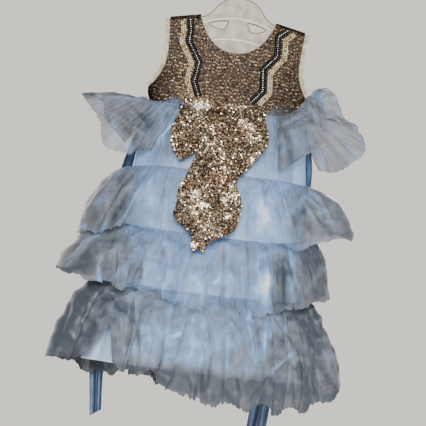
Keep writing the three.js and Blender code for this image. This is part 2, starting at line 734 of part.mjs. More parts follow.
function tie(rows) {
  return sheet(3, TIE_ROWS + 1, false, SATIN, (i, j) => {
    const from = rows[0].z;
    const z = from + ((rows[rows.length - 1].z - from) * j) / TIE_ROWS;
    const row = (column) => read(rows, "z", column, z);
    const turn = THREE.MathUtils.degToRad(row("turn"));
    const across = ((i - 1) * row("width")) / 2;
    const cup = i === 1 ? -2.5 * Math.min(j / 3, 1) : 0;
    return new THREE.Vector3(
      row("x") + across * Math.cos(turn),
      row("y") - across * Math.sin(turn) - cup,
      z,
    );
  });
}

/** The hanger's outline as drawn in (x, -z), with its hook curling over the origin. */
function hangerShape() {
  const armTop = (x) => -(shoulderZ(x) - SEQUIN_CLOTH - HANGER_SEAT);
  const shape = new THREE.Shape();
  const neck = 9;
  const outerHook = HOOK_INNER + HOOK_BAR;
  shape.moveTo(-3, 2 * HOOK_INNER + HOOK_BAR - 1);
  shape.absarc(0, HOOK_INNER, HOOK_INNER, Math.PI / 2, -Math.PI * 1.1, true);
  shape.absarc(0, HOOK_INNER, outerHook, -Math.PI * 1.1, Math.PI * 0.42, false);
  shape.bezierCurveTo(4, 46, neck, 50, neck, 60);
  shape.bezierCurveTo(30, 62, 38, 74, 45, 84);
  shape.bezierCurveTo(52, 94, 60, 99, STRAP_INNER, armTop(STRAP_INNER));
  shape.lineTo(HANGER_REACH - 5, armTop(HANGER_REACH - 5));
  shape.quadraticCurveTo(HANGER_REACH, armTop(HANGER_REACH) + 1, HANGER_REACH, armTop(HANGER_REACH) + 7);
  shape.quadraticCurveTo(HANGER_REACH - 1, 122, 104, 126);
  shape.bezierCurveTo(70, 138, 45, 170, 0, 172);
  shape.bezierCurveTo(-45, 170, -70, 138, -104, 126);
  shape.quadraticCurveTo(1 - HANGER_REACH, 122, -HANGER_REACH, armTop(HANGER_REACH) + 7);
  shape.quadraticCurveTo(-HANGER_REACH, armTop(HANGER_REACH) + 1, 5 - HANGER_REACH, armTop(HANGER_REACH - 5));
  shape.lineTo(-STRAP_INNER, armTop(STRAP_INNER));
  shape.bezierCurveTo(-60, 99, -52, 94, -45, 84);
  shape.bezierCurveTo(-38, 74, -30, 62, -neck, 60);
  shape.bezierCurveTo(-neck, 50, -5, 46, -5, 2 * HOOK_INNER + HOOK_BAR);
  shape.closePath();
  for (const side of [-1, 1]) {
    const hole = new THREE.Path();
    hole.moveTo(side * 18, 103);
    hole.quadraticCurveTo(side * 36, 104, side * 51, 110.5);
    hole.quadraticCurveTo(side * 44, 117, side * 28, 118);
    hole.quadraticCurveTo(side * 21, 118, side * 18, 103);
    shape.holes.push(hole);
  }
  return shape;
}

/** A raised rib across the hanger's face: an arc's band, drawn as (x, -z). */
function ribShape(halfSpan, crown, ends, width) {
  const rib = new THREE.Shape();
  const control = 2 * crown - ends;
  rib.moveTo(-halfSpan, ends);
  rib.quadraticCurveTo(0, control, halfSpan, ends);
  rib.lineTo(halfSpan, ends + width);
  rib.quadraticCurveTo(0, control + width, -halfSpan, ends + width);
  rib.closePath();
  return rib;
}

function hanger() {
  const half = HANGER_THICK / 2;
  const proud = half + RIB_PROUD;
  const body = solidOf(prism(hangerShape(), -half, half, HANGER_BEVEL));
  const ribs = [ribShape(60, 95, 106, 2.2), ribShape(48, 134.5, 142, 2.2)];
  return geometryOf(ribs.reduce((made, rib) => made.add(solidOf(prism(rib, -proud, proud))), body));
}

// ---------------------------------------------------------------- assembly

add("hanger", hanger(), "hanger");
const front = bodiceFront();
add("bodice_front", front, "sequins");
add("bodice_back_left", bodiceBack(-1), "sequins");
add("bodice_back_right", bodiceBack(1), "sequins");
add("back_button", backButton(), "button");
for (const [name, band] of Object.entries(BANDS)) {
  add(name, beadBand(new THREE.Mesh(front), band), name.includes("cream") ? "cream" : "black");
}
add("frill_left", armholeFrill(-1), "net");
add("frill_right", armholeFrill(1), "net");
add("underskirt", underskirt(), "satin");
for (const [name, tier] of Object.entries(TIERS)) add(name, tierRing(tier), "organza");
for (const [name, tier] of Object.entries(FLOUNCES)) add(name, hangingFlounce(tier), "organza");
for (const [name, rows] of Object.entries(WINGS)) add(name, wing(rows), "organza");
add("sequin_tail", sequinTail(), "sequins");
for (const [name, rows] of Object.entries(TIES)) add(name, tie(rows), "satin");

export default dress;
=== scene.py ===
"""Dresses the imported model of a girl's sequin party dress on its clothes hanger.

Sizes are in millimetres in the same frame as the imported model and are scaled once, where a mesh is
made. +Z is up, +X is to the right as seen from the front, and the front faces -Y. Each sub-assembly
is a class that works out its surfaces as numpy grids and gives them their finish.
"""

import json
import logging
from collections.abc import Callable
from dataclasses import dataclass
from enum import Enum
from functools import partial

import bpy
import numpy as np
from mathutils import Matrix, Vector
from mathutils.geometry import delaunay_2d_cdt

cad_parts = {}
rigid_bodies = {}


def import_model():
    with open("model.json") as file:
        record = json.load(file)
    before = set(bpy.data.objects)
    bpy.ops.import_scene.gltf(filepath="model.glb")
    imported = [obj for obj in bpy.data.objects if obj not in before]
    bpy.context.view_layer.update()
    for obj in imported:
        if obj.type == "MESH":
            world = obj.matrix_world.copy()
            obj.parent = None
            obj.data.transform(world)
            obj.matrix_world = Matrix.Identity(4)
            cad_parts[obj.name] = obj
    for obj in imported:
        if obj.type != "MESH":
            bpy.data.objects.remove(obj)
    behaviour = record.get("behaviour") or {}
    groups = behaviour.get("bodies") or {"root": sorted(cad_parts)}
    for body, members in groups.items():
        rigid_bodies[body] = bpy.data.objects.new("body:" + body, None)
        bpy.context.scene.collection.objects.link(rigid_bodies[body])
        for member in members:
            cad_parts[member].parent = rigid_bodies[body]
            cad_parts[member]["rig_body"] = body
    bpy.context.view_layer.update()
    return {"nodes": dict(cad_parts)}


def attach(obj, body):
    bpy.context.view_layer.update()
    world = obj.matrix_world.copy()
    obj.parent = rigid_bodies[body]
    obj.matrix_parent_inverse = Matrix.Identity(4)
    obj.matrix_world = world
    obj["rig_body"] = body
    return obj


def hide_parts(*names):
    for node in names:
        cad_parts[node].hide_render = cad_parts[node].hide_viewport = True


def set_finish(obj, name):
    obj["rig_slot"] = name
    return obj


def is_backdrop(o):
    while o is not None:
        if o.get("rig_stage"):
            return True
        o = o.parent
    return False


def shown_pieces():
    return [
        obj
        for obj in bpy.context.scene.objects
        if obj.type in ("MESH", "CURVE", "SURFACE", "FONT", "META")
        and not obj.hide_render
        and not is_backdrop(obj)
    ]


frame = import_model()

MM = 0.001
BODY = "root"
Array = np.ndarray
Node = bpy.types.Node
Add = Callable[..., Node]
Rows = tuple[tuple[float, ...], ...]
LOG = logging.getLogger("dress")

# Sizes shared by more than one piece of the garment.
SEAM_GAP = 0.3
SHOULDER_Z = -97.0
SHOULDER_SLOPE = 0.204
STRAP_INNER = 68.0
WAIST_Z = -262.0
UNDERARM_Z = -238.0
FRONT = np.array([0, -1, 0])
SIDEWAYS = np.array([1, 1, 0])
SUM = {"operation": "MULTIPLY_ADD"}  # a Math node's first input times its second, plus its third


# ---------------------------------------------------------------- tables, waves and grids


@dataclass(frozen=True)
class Table:
    """Rows of sizes under named columns, read on a smooth curve through the rows."""

    columns: tuple[str, ...]
    rows: Rows

    def column(self, name: str) -> Array:
        """One column as an array, in the order of the rows."""
        return np.array(self.rows)[:, self.columns.index(name)]

    def read(self, key: str, name: str, at: Array) -> Array:
        """Cubic curve through the rows: each row's slope is that between its two neighbours.

        Args:
            key: the column that the rows are ordered by.
            name: the column to read.
            at: places along the key column; past its ends the end rows hold.

        Returns:
            The column's value at each place.
        """
        keys, values = self.column(key), self.column(name)
        if keys[0] > keys[-1]:
            keys, values = keys[::-1], values[::-1]
        last = len(keys) - 1
        low = np.clip(np.searchsorted(keys, at, side="right") - 1, 0, last - 1)
        before, after = np.maximum(low - 1, 0), np.minimum(low + 2, last)
        step = keys[low + 1] - keys[low]
        t = np.clip((at - keys[low]) / step, 0, 1)
        slope_in = step * (values[low + 1] - values[before]) / (keys[low + 1] - keys[before])
        slope_out = step * (values[after] - values[low]) / (keys[after] - keys[low])
        start = values[low] * (2 * t**3 - 3 * t**2 + 1) + slope_in * (t**3 - 2 * t**2 + t)
        return start + values[low + 1] * (3 * t**2 - 2 * t**3) + slope_out * (t**3 - t**2)

    def turned_round(self) -> "Table":
        """The rows once more a full turn before and after, so that a ring reads all round."""
        turns = [(row[0] + by, *row[1:]) for by in (-360, 0, 360) for row in self.rows]
        return Table(self.columns, tuple(turns))


def smoothstep(at: Array, low: float, high: float) -> Array:
    """0 up to low, 1 from high on, and the S-curve 3t^2 - 2t^3 in between."""
    t = np.clip((at - low) / (high - low), 0, 1)
    return t * t * (3 - 2 * t)


def unit(vectors: Array) -> Array:
    """Vectors of length 1 in the same directions."""
    return vectors / np.maximum(np.linalg.norm(vectors, axis=-1, keepdims=True), 1e-9)


def lengths_along(path: Array) -> Array:
    """How far along a path each of its points is: the sum of the steps before it."""
    return np.concatenate([[0], np.cumsum(np.linalg.norm(np.diff(path, axis=0), axis=1))])


def at_lengths(path: Array, at: Array) -> Array:
    """Places at those lengths along a path, on straight lines between its points."""
    length = lengths_along(path)
    return np.stack([np.interp(at, length, values) for values in path.T], axis=1)


def grid_normals(points: Array, closed: bool) -> Array:
    """Normals of a grid: the step across its columns crossed with the step down its rows.

    Args:
        points: rows by columns of places.
        closed: whether the last column joins the first.

    Returns:
        Unit normals of the same shape.
    """
    down = np.gradient(points, axis=0)
    if closed:
        across = np.roll(points, -1, axis=1) - np.roll(points, 1, axis=1)
    else:
        across = np.gradient(points, axis=1)
    return unit(np.cross(across, down))


def grid_quads(rows: int, columns: int, closed: bool = False) -> Array:
    """Corner numbers of a grid's quads, row by row.

    Args:
        rows: of points in the grid.
        columns: of points in the grid.
        closed: whether the last column joins the first.

    Returns:
        Four numbers for each quad.
    """
    spans = columns if closed else columns - 1
    row, column = np.meshgrid(np.arange(rows - 1), np.arange(spans), indexing="ij")
    after = (column + 1) % columns
    top, foot = row * columns, (row + 1) * columns
    return np.stack([top + column, top + after, foot + after, foot + column], axis=-1).reshape(-1, 4)


def crumple(run: Array, down: Array, period: float, size: float, seed: int) -> Array:
    """Crisp-edged wrinkles: the mean of 1 - 2|sin| over bent plane waves in many directions.

    Args:
        run: millimetres along the cloth's width.
        down: millimetres down the cloth.
        period: width after which the wrinkles repeat, so that a ring closes.
        size: spacing of the wrinkles in millimetres.
        seed: picks their directions and places.

    Returns:
        Heights between about -1 and 1, highest on the ridges.
    """
    rng = np.random.default_rng(seed)
    waves = 6
    total = np.zeros(np.broadcast(run, down).shape)
    for heading in rng.uniform(0, np.pi, waves):
        round_turns = np.round(period * np.cos(heading) / size)
        bend = rng.uniform(0.5, 1.3) * np.sin(2 * np.pi * np.round(period / (3.1 * size)) * run / period)
        phase = np.pi * (round_turns * run / period + np.sin(heading) * down / size)
        total += 1 - 2 * np.abs(np.sin(phase + bend + rng.uniform(0, np.pi)))
    return total / waves


def uneven(at: Array, period: float, size: float, seed: int) -> Array:
    """A repeatable random curve: seeded values every size, joined by straight lines.

    Args:
        at: places along it.
        period: after which it repeats, so that a ring closes.
        size: between two values.
        seed: picks the values.

    Returns:
        Its value at each place, from -1 to 1.
    """
    count = int(round(period / size))
    values = np.random.default_rng(seed).uniform(-1, 1, count)
    return np.interp(at % period, np.linspace(0, period, count + 1), np.append(values, values[0]))


@dataclass(frozen=True)
class Creases:
    """Folds listed for a sheet.

    Columns: at and to are where the crease starts and ends across the sheet, in the sheet's own
    measure; top and foot are how far down it, as shares; width is half its width in millimetres;
    depth is its height in millimetres, under 0 for a trough.
    """

    rows: Rows

    def relief(self, across: Array, share: Array, scale: float) -> Array:
        """Height of all creases: a bell curve across each, fading in and out at its two ends.

        Args:
            across: places across the sheet, in the measure of the at column.
            share: places down the sheet, 0 to 1.
            scale: millimetres for each unit of across.

        Returns:
            Height in millimetres at each place.
        """
        height = np.zeros(np.broadcast(across, share).shape)
        for at, to, top, foot, width, depth in self.rows:
            along = np.clip((share - top) / (foot - top), 0, 1)
            middle = at + (to - at) * along
            fade = smoothstep(share, top - 0.08, top + 0.08)
            fade = fade * (1 - smoothstep(share, foot - 0.12, foot + 0.06))
            height += depth * fade * np.exp(-(((across - middle) * scale / width) ** 2))
        return height


@dataclass(frozen=True)
class Drawn:
    """Creases and patches listed for the side that shows, in its flat view (x and z).

    A line is its two ends (x, z, x, z), half its width and its height, under 0 for a trough, in
    millimetres. A patch is its middle (x, z) and its two radii in millimetres, how much lighter the
    cloth is made there, a painted highlight above 0 and painted shade below it, and how much denser it
    looks there.
    """

    lines: Rows = ()
    patches: Rows = ()

    def relief(self, points: Array) -> Array:
        """Height of the lines: a bell curve across, fuller in the middle than at the ends.

        Args:
            points: rows by columns of places.

        Returns:
            Height in millimetres at each place.
        """
        flat, height = points[..., [0, 2]], np.zeros(points.shape[:2])
        for x0, z0, x1, z1, width, size in self.lines:
            run = np.array([x1 - x0, z1 - z0])
            gap = flat - np.array([x0, z0])
            along = np.clip(gap @ run / (run @ run), 0, 1)
            off = np.linalg.norm(gap - along[..., None] * run, axis=-1)
            height += size * (0.35 + 0.65 * np.sin(np.pi * along)) * np.exp(-((off / width) ** 2))
        return np.where(points[..., 1] < 0, height, 0)

    def patch(self, points: Array, column: int) -> Array:
        """A column of the patches at each place, a soft oval each.

        Args:
            points: rows by columns of places.
            column: 4 for how much lighter, the painted light and shade, 5 for how much denser.

        Returns:
            Their sum at each place.
        """
        total = np.zeros(points.shape[:2])
        for row in self.patches:
            far = ((points[..., 0] - row[0]) / row[2]) ** 2 + ((points[..., 2] - row[1]) / row[3]) ** 2
            total += row[column] * np.exp(-(far**1.5))
        return np.where(points[..., 1] < 0, total, 0)


@dataclass(frozen=True)
class Glints:
    """Where discs lie flat towards the light and are made paler, a painted highlight: x, z, radius across,
    radius down, strength.
    """

    rows: Rows

    def light(self, x: Array, z: Array) -> Array:
        """How strongly each place catches the light: the highest of a bell curve for each glint.

        Args:
            x: of each place.
            z: of each place.

        Returns:
            Strength from 0 to 1.
        """
        light = np.zeros(len(x))
        for middle, level, wide, high, strength in self.rows:
            near = ((x - middle) / wide) ** 2 + ((z - level) / high) ** 2
            light = np.maximum(light, strength * np.exp(-near))
        return light


# ---------------------------------------------------------------- finishes


class Shade(Enum):
    """Colours of the small shiny pieces, from dark to light."""

    ROSE_GOLD = ("#120f0c", "#1b1511", "#6a5b45")
    OLD_GOLD = ("#18140f", "#40362a", "#f6efdc")
    BLACK = ("#050505", "#12100f", "#2e2b29")
    SILVER = ("#8f8f8c", "#d5d4cf", "#ffffff")
    CREAM = ("#6f5d3c", "#dccb9f", "#fffaea")

    def stops(self) -> tuple[tuple[float, str], ...]:
        """The three colours at 0, a half and 1."""
        return tuple(zip((0.0, 0.5, 1.0), self.value))


def linear(colour: str) -> tuple[float, float, float, float]:
    """An sRGB hex colour in linear light: c/12.92 low down, and ((c + 0.055)/1.055)^2.4 above.

    Args:
        colour: with # before its six digits.

    Returns:
        Red, green, blue and a full alpha.
    """
    values = np.array([int(colour[i : i + 2], 16) for i in (1, 3, 5)]) / 255
    low, high = values / 12.92, ((values + 0.055) / 1.055) ** 2.4
    red, green, blue = np.where(values <= 0.04045, low, high)
    return float(red), float(green), float(blue), 1.0


def add_node(
    tree: bpy.types.NodeTree, kind: str, links: dict | None = None, stops: tuple = (), **settings: object
) -> Node:
    """Adds a node to a material.

    Args:
        tree: the material's nodes.
        kind: the node's type, after the words ShaderNode.
        links: what each input takes, by its name or number: a node's first output, a socket or a value.
        stops: a colour ramp's places and sRGB colours.
        settings: the node's own properties.

    Returns:
        The new node.
    """
    node = tree.nodes.new("ShaderNode" + kind)
    for name, value in settings.items():
        setattr(node, name, value)
    for key, value in (links or {}).items():
        value = value.outputs[0] if isinstance(value, Node) else value
        if isinstance(value, bpy.types.NodeSocket):
            tree.links.new(value, node.inputs[key])
        else:
            node.inputs[key].default_value = value
    if stops:
        elements = node.color_ramp.elements
        while len(elements) < len(stops):
            elements.new(0.5)
        for element, (place, colour) in zip(elements, stops):
            element.position = place
            element.color = linear(colour)
    return node


def blotches(add: Add, where: object, size_mm: float, detail: float = 2.0, stretch: float = 1.0) -> Node:
    """Cloudy blotches of a real size.

    Args:
        add: adds a node to the material.
        where: the coordinates that they follow.
        size_mm: of one blotch.
        detail: how many finer layers lie over them.
        stretch: how many times longer they are down the cloth.

    Returns:
        The node whose first output they are.
    """
    scale = (1 / (size_mm * MM), 1 / (size_mm * stretch * MM), 1 / (size_mm * MM))
    placed = add("Mapping", {"Vector": where, "Scale": scale})
    return add("TexNoise", {"Vector": placed, "Scale": 1.0, "Detail": detail})


class Finish:
    """A surface finish, which makes its material once and shares it between pieces."""

    shade: Shade | None = None

    def material(self) -> bpy.types.Material:
        """The finish's material, made on first use and named for the finish and its shade.

        Returns:
            The material.
        """
        name = type(self).__name__ + (f"_{self.shade.name.lower()}" if self.shade else "")
        found = bpy.data.materials.get(name)
        if found:
            return found
        made = bpy.data.materials.new(name)
        made.use_nodes = True
        made.node_tree.nodes.clear()
        add = partial(add_node, made.node_tree)
        add("OutputMaterial", {"Surface": add("BsdfPrincipled", self.dress(add))})
        return made

    def dress(self, add: Add) -> dict[str, object]:
        """Adds the finish's own nodes.

        Args:
            add: adds a node to the material, with its links, stops and settings.

        Returns:
            What each input of the shader takes.
        """
        raise NotImplementedError


@dataclass(frozen=True)
class Organza(Finish):
    """Nylon organza: a sheer, crisp plain weave of fine filament, left raw at the hem.

    One layer lets about half of what lies behind show, so it reads grey over air and blue over
    satin. The tone mark colours it, with painted light and shade on its folds, sides and hem, and the
    cover mark thickens it where layers and folds gather.
    """

    shades: tuple[tuple[float, str], ...] = (
        (0.0, "#3f4752"), (0.25, "#666e7a"), (0.5, "#7091bb"), (0.75, "#93bbec"), (1.0, "#dcebfb")
    )
    blotch_mm: float = 26.0
    wisp_mm: float = 12.0  # where two crumpled layers touch
    thread_mm: float = 1.6  # real filaments are 0.2 mm apart, too fine to show

    def dress(self, add: Add) -> dict[str, object]:
        """Soft blotches and drawn threads over the tone mark; the cover mark gives the alpha.

        Args:
            add: adds a node to the material.

        Returns:
            What each input of the shader takes.
        """
        flat, place = add("UVMap", uv_map="cloth"), add("TexCoord").outputs["Object"]
        tone, cover = (add("Attribute", attribute_name=name).outputs["Fac"] for name in ("tone", "cover"))
        thread = blotches(add, flat, self.thread_mm, 1.0, 9.0)
        pick = blotches(add, flat, self.thread_mm * 14, 1.0, 0.09)
        cloud = blotches(add, place, self.blotch_mm * 2.6, 2.0)
        wisp = blotches(add, flat, self.wisp_mm, 5.0, 1.3)
        small = blotches(add, place, self.blotch_mm, 4.0)
        both = add("Math", {0: cloud, 1: 0.6, 2: small}, **SUM)
        lift = add("Math", {0: both, 1: 0.65, 2: -0.52}, **SUM)
        threads = add("Math", {0: thread, 1: 0.1, 2: -0.05}, **SUM)
        wisps = add("Math", {0: wisp, 1: 0.5, 2: -0.25}, **SUM)
        fine = add("Math", {0: threads, 1: 1.0, 2: wisps}, **SUM)
        grain = add("Math", {0: fine, 1: 1.0, 2: lift}, **SUM)
        picks = add("Math", {0: pick, 1: 0.4, 2: 0.0}, **SUM)
        weave = add("Math", {0: thread, 1: 0.6, 2: picks}, **SUM)
        open_weave = add("Math", {0: weave, 1: 0.3, 2: -0.15}, **SUM)
        covered = add("Math", {0: cover, 1: 1.0, 2: open_weave}, **SUM)
        shaded = add("Math", {0: tone, 1: 1.0, 2: grain}, **SUM)
        dense = add("Math", {0: lift, 1: 0.4, 2: covered}, **SUM)
        return {
            "Base Color": add("ValToRGB", {"Fac": shaded}, self.shades),
            "Alpha": add("Clamp", {"Value": dense, "Min": 0.0, "Max": 1.0}),
            "Normal": add("Bump", {"Height": weave, "Strength": 0.12, "Distance": 0.4 * MM}),
            "Roughness": 0.55,
            "Sheen Weight": 0.35,
            "Sheen Roughness": 0.4,
            "Specular IOR Level": 0.35,
        }


@dataclass(frozen=True)
class Satin(Finish):
    """Polyester satin: long floats make it smooth and bright where it faces the light."""

    shades: tuple[tuple[float, str], ...] = ((0.0, "#22344f"), (0.5, "#84a8d6"), (1.0, "#c2daf2"))
    float_mm: float = 1.8  # real floats are about 0.4 mm, too fine to show

    def dress(self, add: Add) -> dict[str, object]:
        """Fine lengthwise floats and slow changes of shade over the tone mark.

        Args:
            add: adds a node to the material.

        Returns:
            What each input of the shader takes.
        """
        slow = blotches(add, add("TexCoord").outputs["Object"], 60.0, 3.0)
        floats = blotches(add, add("UVMap", uv_map="cloth"), self.float_mm, 1.0, 12.0)
        tone = add("Attribute", attribute_name="tone").outputs["Fac"]
        shift = add("Math", {0: slow, 1: 0.4, 2: -0.2}, **SUM)
        lengthwise = add("Math", {0: floats, 1: 0.1, 2: -0.05}, **SUM)
        grain = add("Math", {0: lengthwise, 1: 1.0, 2: shift}, **SUM)
        shaded = add("Math", {0: tone, 1: 1.0, 2: grain}, **SUM)
        return {
            "Base Color": add("ValToRGB", {"Fac": shaded}, self.shades),
            "Normal": add("Bump", {"Height": floats, "Strength": 0.1, "Distance": 0.2 * MM}),
            "Roughness": 0.34,
            "Specular IOR Level": 0.6,
            "Sheen Weight": 0.25,
            "Sheen Roughness": 0.3,
        }


@dataclass(frozen=True)
class SequinFoil(Finish):
    """Metallised polyester film stamped into flat discs: mirror bright, each catching light by itself."""

    shade: Shade = Shade.ROSE_GOLD
    cast: float = 0.35  # strength of the copper and olive patches

    def dress(self, add: Add) -> dict[str, object]:
        """Each disc's own tone, with copper and olive patches a few centimetres wide.

        Args:
            add: adds a node to the material.

        Returns:
            What each input of the shader takes.
        """
        patch = blotches(add, add("TexCoord").outputs["Object"], 34.0, 2.0)
        tone = add("Attribute", attribute_name="tone").outputs["Fac"]
        own = add("ValToRGB", {"Fac": tone}, self.shade.stops())
        cast = add("ValToRGB", {"Fac": patch}, ((0.36, "#989a86"), (0.5, "#ffffff"), (0.64, "#dfae8a")))
        mixed = add("Mix", {0: self.cast, 6: own, 7: cast}, data_type="RGBA", blend_type="MULTIPLY")
        return {"Base Color": mixed.outputs[2], "Metallic": 0.93, "Roughness": 0.36}


@dataclass(frozen=True)
class SewnNet(Finish):
    """Fine nylon net that carries the sequins, with the sewing thread on it."""

    colour: str = "#3c2c22"
    mesh_mm: float = 1.5

    def dress(self, add: Add) -> dict[str, object]:
        """A matt ground with the net's cells as bump.

        Args:
            add: adds a node to the material.

        Returns:
            What each input of the shader takes.
        """
        place = add("TexCoord").outputs["Object"]
        spacing = {"Vector": place, "Scale": 1 / (self.mesh_mm * MM)}
        cells = add("TexVoronoi", spacing, feature="DISTANCE_TO_EDGE")
        mottle, shades = blotches(add, place, 12.0), ((0.3, self.colour), (0.7, "#5a4434"))
        return {
            "Base Color": add("ValToRGB", {"Fac": mottle}, shades),
            "Normal": add("Bump", {"Height": cells, "Strength": 0.5, "Distance": 0.4 * MM}),
            "Roughness": 0.85,
        }


@dataclass(frozen=True)
class GlassBead(Finish):
    """Drawn and tumbled glass beads, lined or dyed: dark or pale bodies with a hard gloss."""

    shade: Shade = Shade.BLACK
    metallic: float = 0.0

    def dress(self, add: Add) -> dict[str, object]:
        """Each bead's own tone under a gloss coat.

        Args:
            add: adds a node to the material.

        Returns:
            What each input of the shader takes.
        """
        tone = add("Attribute", attribute_name="tone").outputs["Fac"]
        return {
            "Base Color": add("ValToRGB", {"Fac": tone}, self.shade.stops()),
            "Metallic": self.metallic,
            "Roughness": 0.3,
            "Coat Weight": 0.3,
            "Coat Roughness": 0.12,
        }


@dataclass(frozen=True)
class BandTape(Finish):
    """Narrow cotton tape under the beads, dyed to match them."""

    shade: Shade = Shade.BLACK
    deep: float = 0.9  # how dark the tape is, which gives painted shade in the gaps between the beads; 1 for the plain dye

    def dress(self, add: Add) -> dict[str, object]:
        """A matt, slightly uneven dye, mostly its dark colour, which is painted shade in the gaps between
        the beads.

        Args:
            add: adds a node to the material.

        Returns:
            What each input of the shader takes.
        """
        dark, pale = self.shade.value[:2]
        mottle = blotches(add, add("TexCoord").outputs["Object"], 3.0)
        colour = add("ValToRGB", {"Fac": mottle}, ((self.deep - 0.1, dark), (self.deep, pale)))
        return {"Base Color": colour, "Roughness": 0.9, "Specular IOR Level": 0.2}


@dataclass(frozen=True)
class FrillNet(Finish):
    """Soft cream net, torn to a raw edge."""

    colour: str = "#ddd3bf"
    mesh_mm: float = 1.6

    def dress(self, add: Add) -> dict[str, object]:
        """Holes between the threads, in the cloth's own measure.

        Args:
            add: adds a node to the material.

        Returns:
            What each input of the shader takes.
        """
        spacing = {"Vector": add("UVMap", uv_map="cloth"), "Scale": 1 / (self.mesh_mm * MM)}
        cells = add("TexVoronoi", spacing, feature="DISTANCE_TO_EDGE", voronoi_dimensions="2D")
        slow = blotches(add, add("TexCoord").outputs["Object"], 9.0)
        thread_to_hole = {"From Min": 0.1, "From Max": 0.3, "To Min": 0.95, "To Max": 0.25}
        return {
            "Base Color": add("ValToRGB", {"Fac": slow}, ((0.3, "#94846b"), (0.7, self.colour))),
            "Alpha": add("MapRange", {"Value": cells, **thread_to_hole}),
            "Roughness": 0.8,
            "Sheen Weight": 0.2,
        }


@dataclass(frozen=True)
class HangerPlastic(Finish):
    """Injection-moulded polystyrene, slightly milky, with a soft gloss and faint flow marks."""

    colour: str = "#726843"
    # Painted highlights along the ribs: height of the arc at x = 0 and its fall with x squared, in mm.
    rib_highlights: Rows = ((-96.6, 0.0036), (-134.5, 0.003))
    rib_width: float = 1.3

    def rib(self, add: Add, place: bpy.types.NodeSocket) -> Node:
        """The painted highlight lines along the ribs: the nearest gap to an arc, compared with the width.

        Args:
            add: adds a node to the material.
            place: Object coordinates.

        Returns:
            The node that is 1 on the lines and 0 beside them.
        """
        parts = add("SeparateXYZ", {0: place}).outputs
        square = add("Math", {0: parts["X"], 1: parts["X"]}, operation="MULTIPLY")
        gaps = []
        for top, bend in self.rib_highlights:
            arc = add("Math", {0: square, 1: -bend / MM, 2: top * MM}, **SUM)
            off = add("Math", {0: parts["Z"], 1: arc}, operation="SUBTRACT")
            gaps.append(add("Math", {0: off}, operation="ABSOLUTE"))
        nearest = add("Math", dict(enumerate(gaps)), operation="MINIMUM")
        limits = {"From Min": 0.0, "From Max": self.rib_width * MM, "To Min": 1.0, "To Max": 0.0}
        return add("MapRange", {"Value": nearest, **limits}, interpolation_type="SMOOTHSTEP")

    def dress(self, add: Add) -> dict[str, object]:
        """Milky depth, flow marks 18 mm wide, the mould's fine texture and painted highlights along the
        ribs.

        Args:
            add: adds a node to the material.

        Returns:
            What each input of the shader takes.
        """
        place = add("TexCoord").outputs["Object"]
        flow, grain = blotches(add, place, 18.0, 2.0, 3.0), blotches(add, place, 0.9)
        rib_highlights = add("Math", {0: self.rib(add, place), 1: 0.8}, operation="MULTIPLY")
        shown = add("Math", {0: flow, 1: 0.4, 2: rib_highlights}, **SUM)
        shades = ((0.1, "#645c42"), (0.3, self.colour), (0.9, "#ece4c0"))
        return {
            "Base Color": add("ValToRGB", {"Fac": shown}, shades),
            "Roughness": add("MapRange", {"Value": flow, "To Min": 0.22, "To Max": 0.4}),
            "Normal": add("Bump", {"Height": grain, "Strength": 0.08, "Distance": 0.1 * MM}),
            "Alpha": 0.9,
            "IOR": 1.59,
            "Specular IOR Level": 0.25,
            "Subsurface Weight": 0.1,
            "Subsurface Scale": 0.004,
        }


@dataclass(frozen=True)
class ButtonPlastic(Finish):
    """Cast polyester button, pearly and polished."""

    colour: str = "#d8cfbd"

    def dress(self, add: Add) -> dict[str, object]:
        """Pearly swirls 3 mm wide.

        Args:
            add: adds a node to the material.

        Returns:
            What each input of the shader takes.
        """
        swirl = blotches(add, add("TexCoord").outputs["Object"], 3.0, 3.0)
        colour = add("ValToRGB", {"Fac": swirl}, ((0.35, "#c2b59b"), (0.65, self.colour)))
        return {"Base Color": colour, "Roughness": 0.22, "Coat Weight": 0.4, "Coat Roughness": 0.1}


@dataclass(frozen=True)
class StudioPaper(Finish):
    """Matt pale paper under the studio's set."""

    colour: str = "#dad7d0"

    def dress(self, add: Add) -> dict[str, object]:
        """An even matt surface with a trace of mottle.

        Args:
            add: adds a node to the material.

        Returns:
            What each input of the shader takes.
        """
        slow = blotches(add, add("TexCoord").outputs["Object"], 300.0)
        colour = add("ValToRGB", {"Fac": slow}, ((0.3, "#d3d0c9"), (0.7, self.colour)))
        return {"Base Color": colour, "Roughness": 0.9}


# ---------------------------------------------------------------- meshes


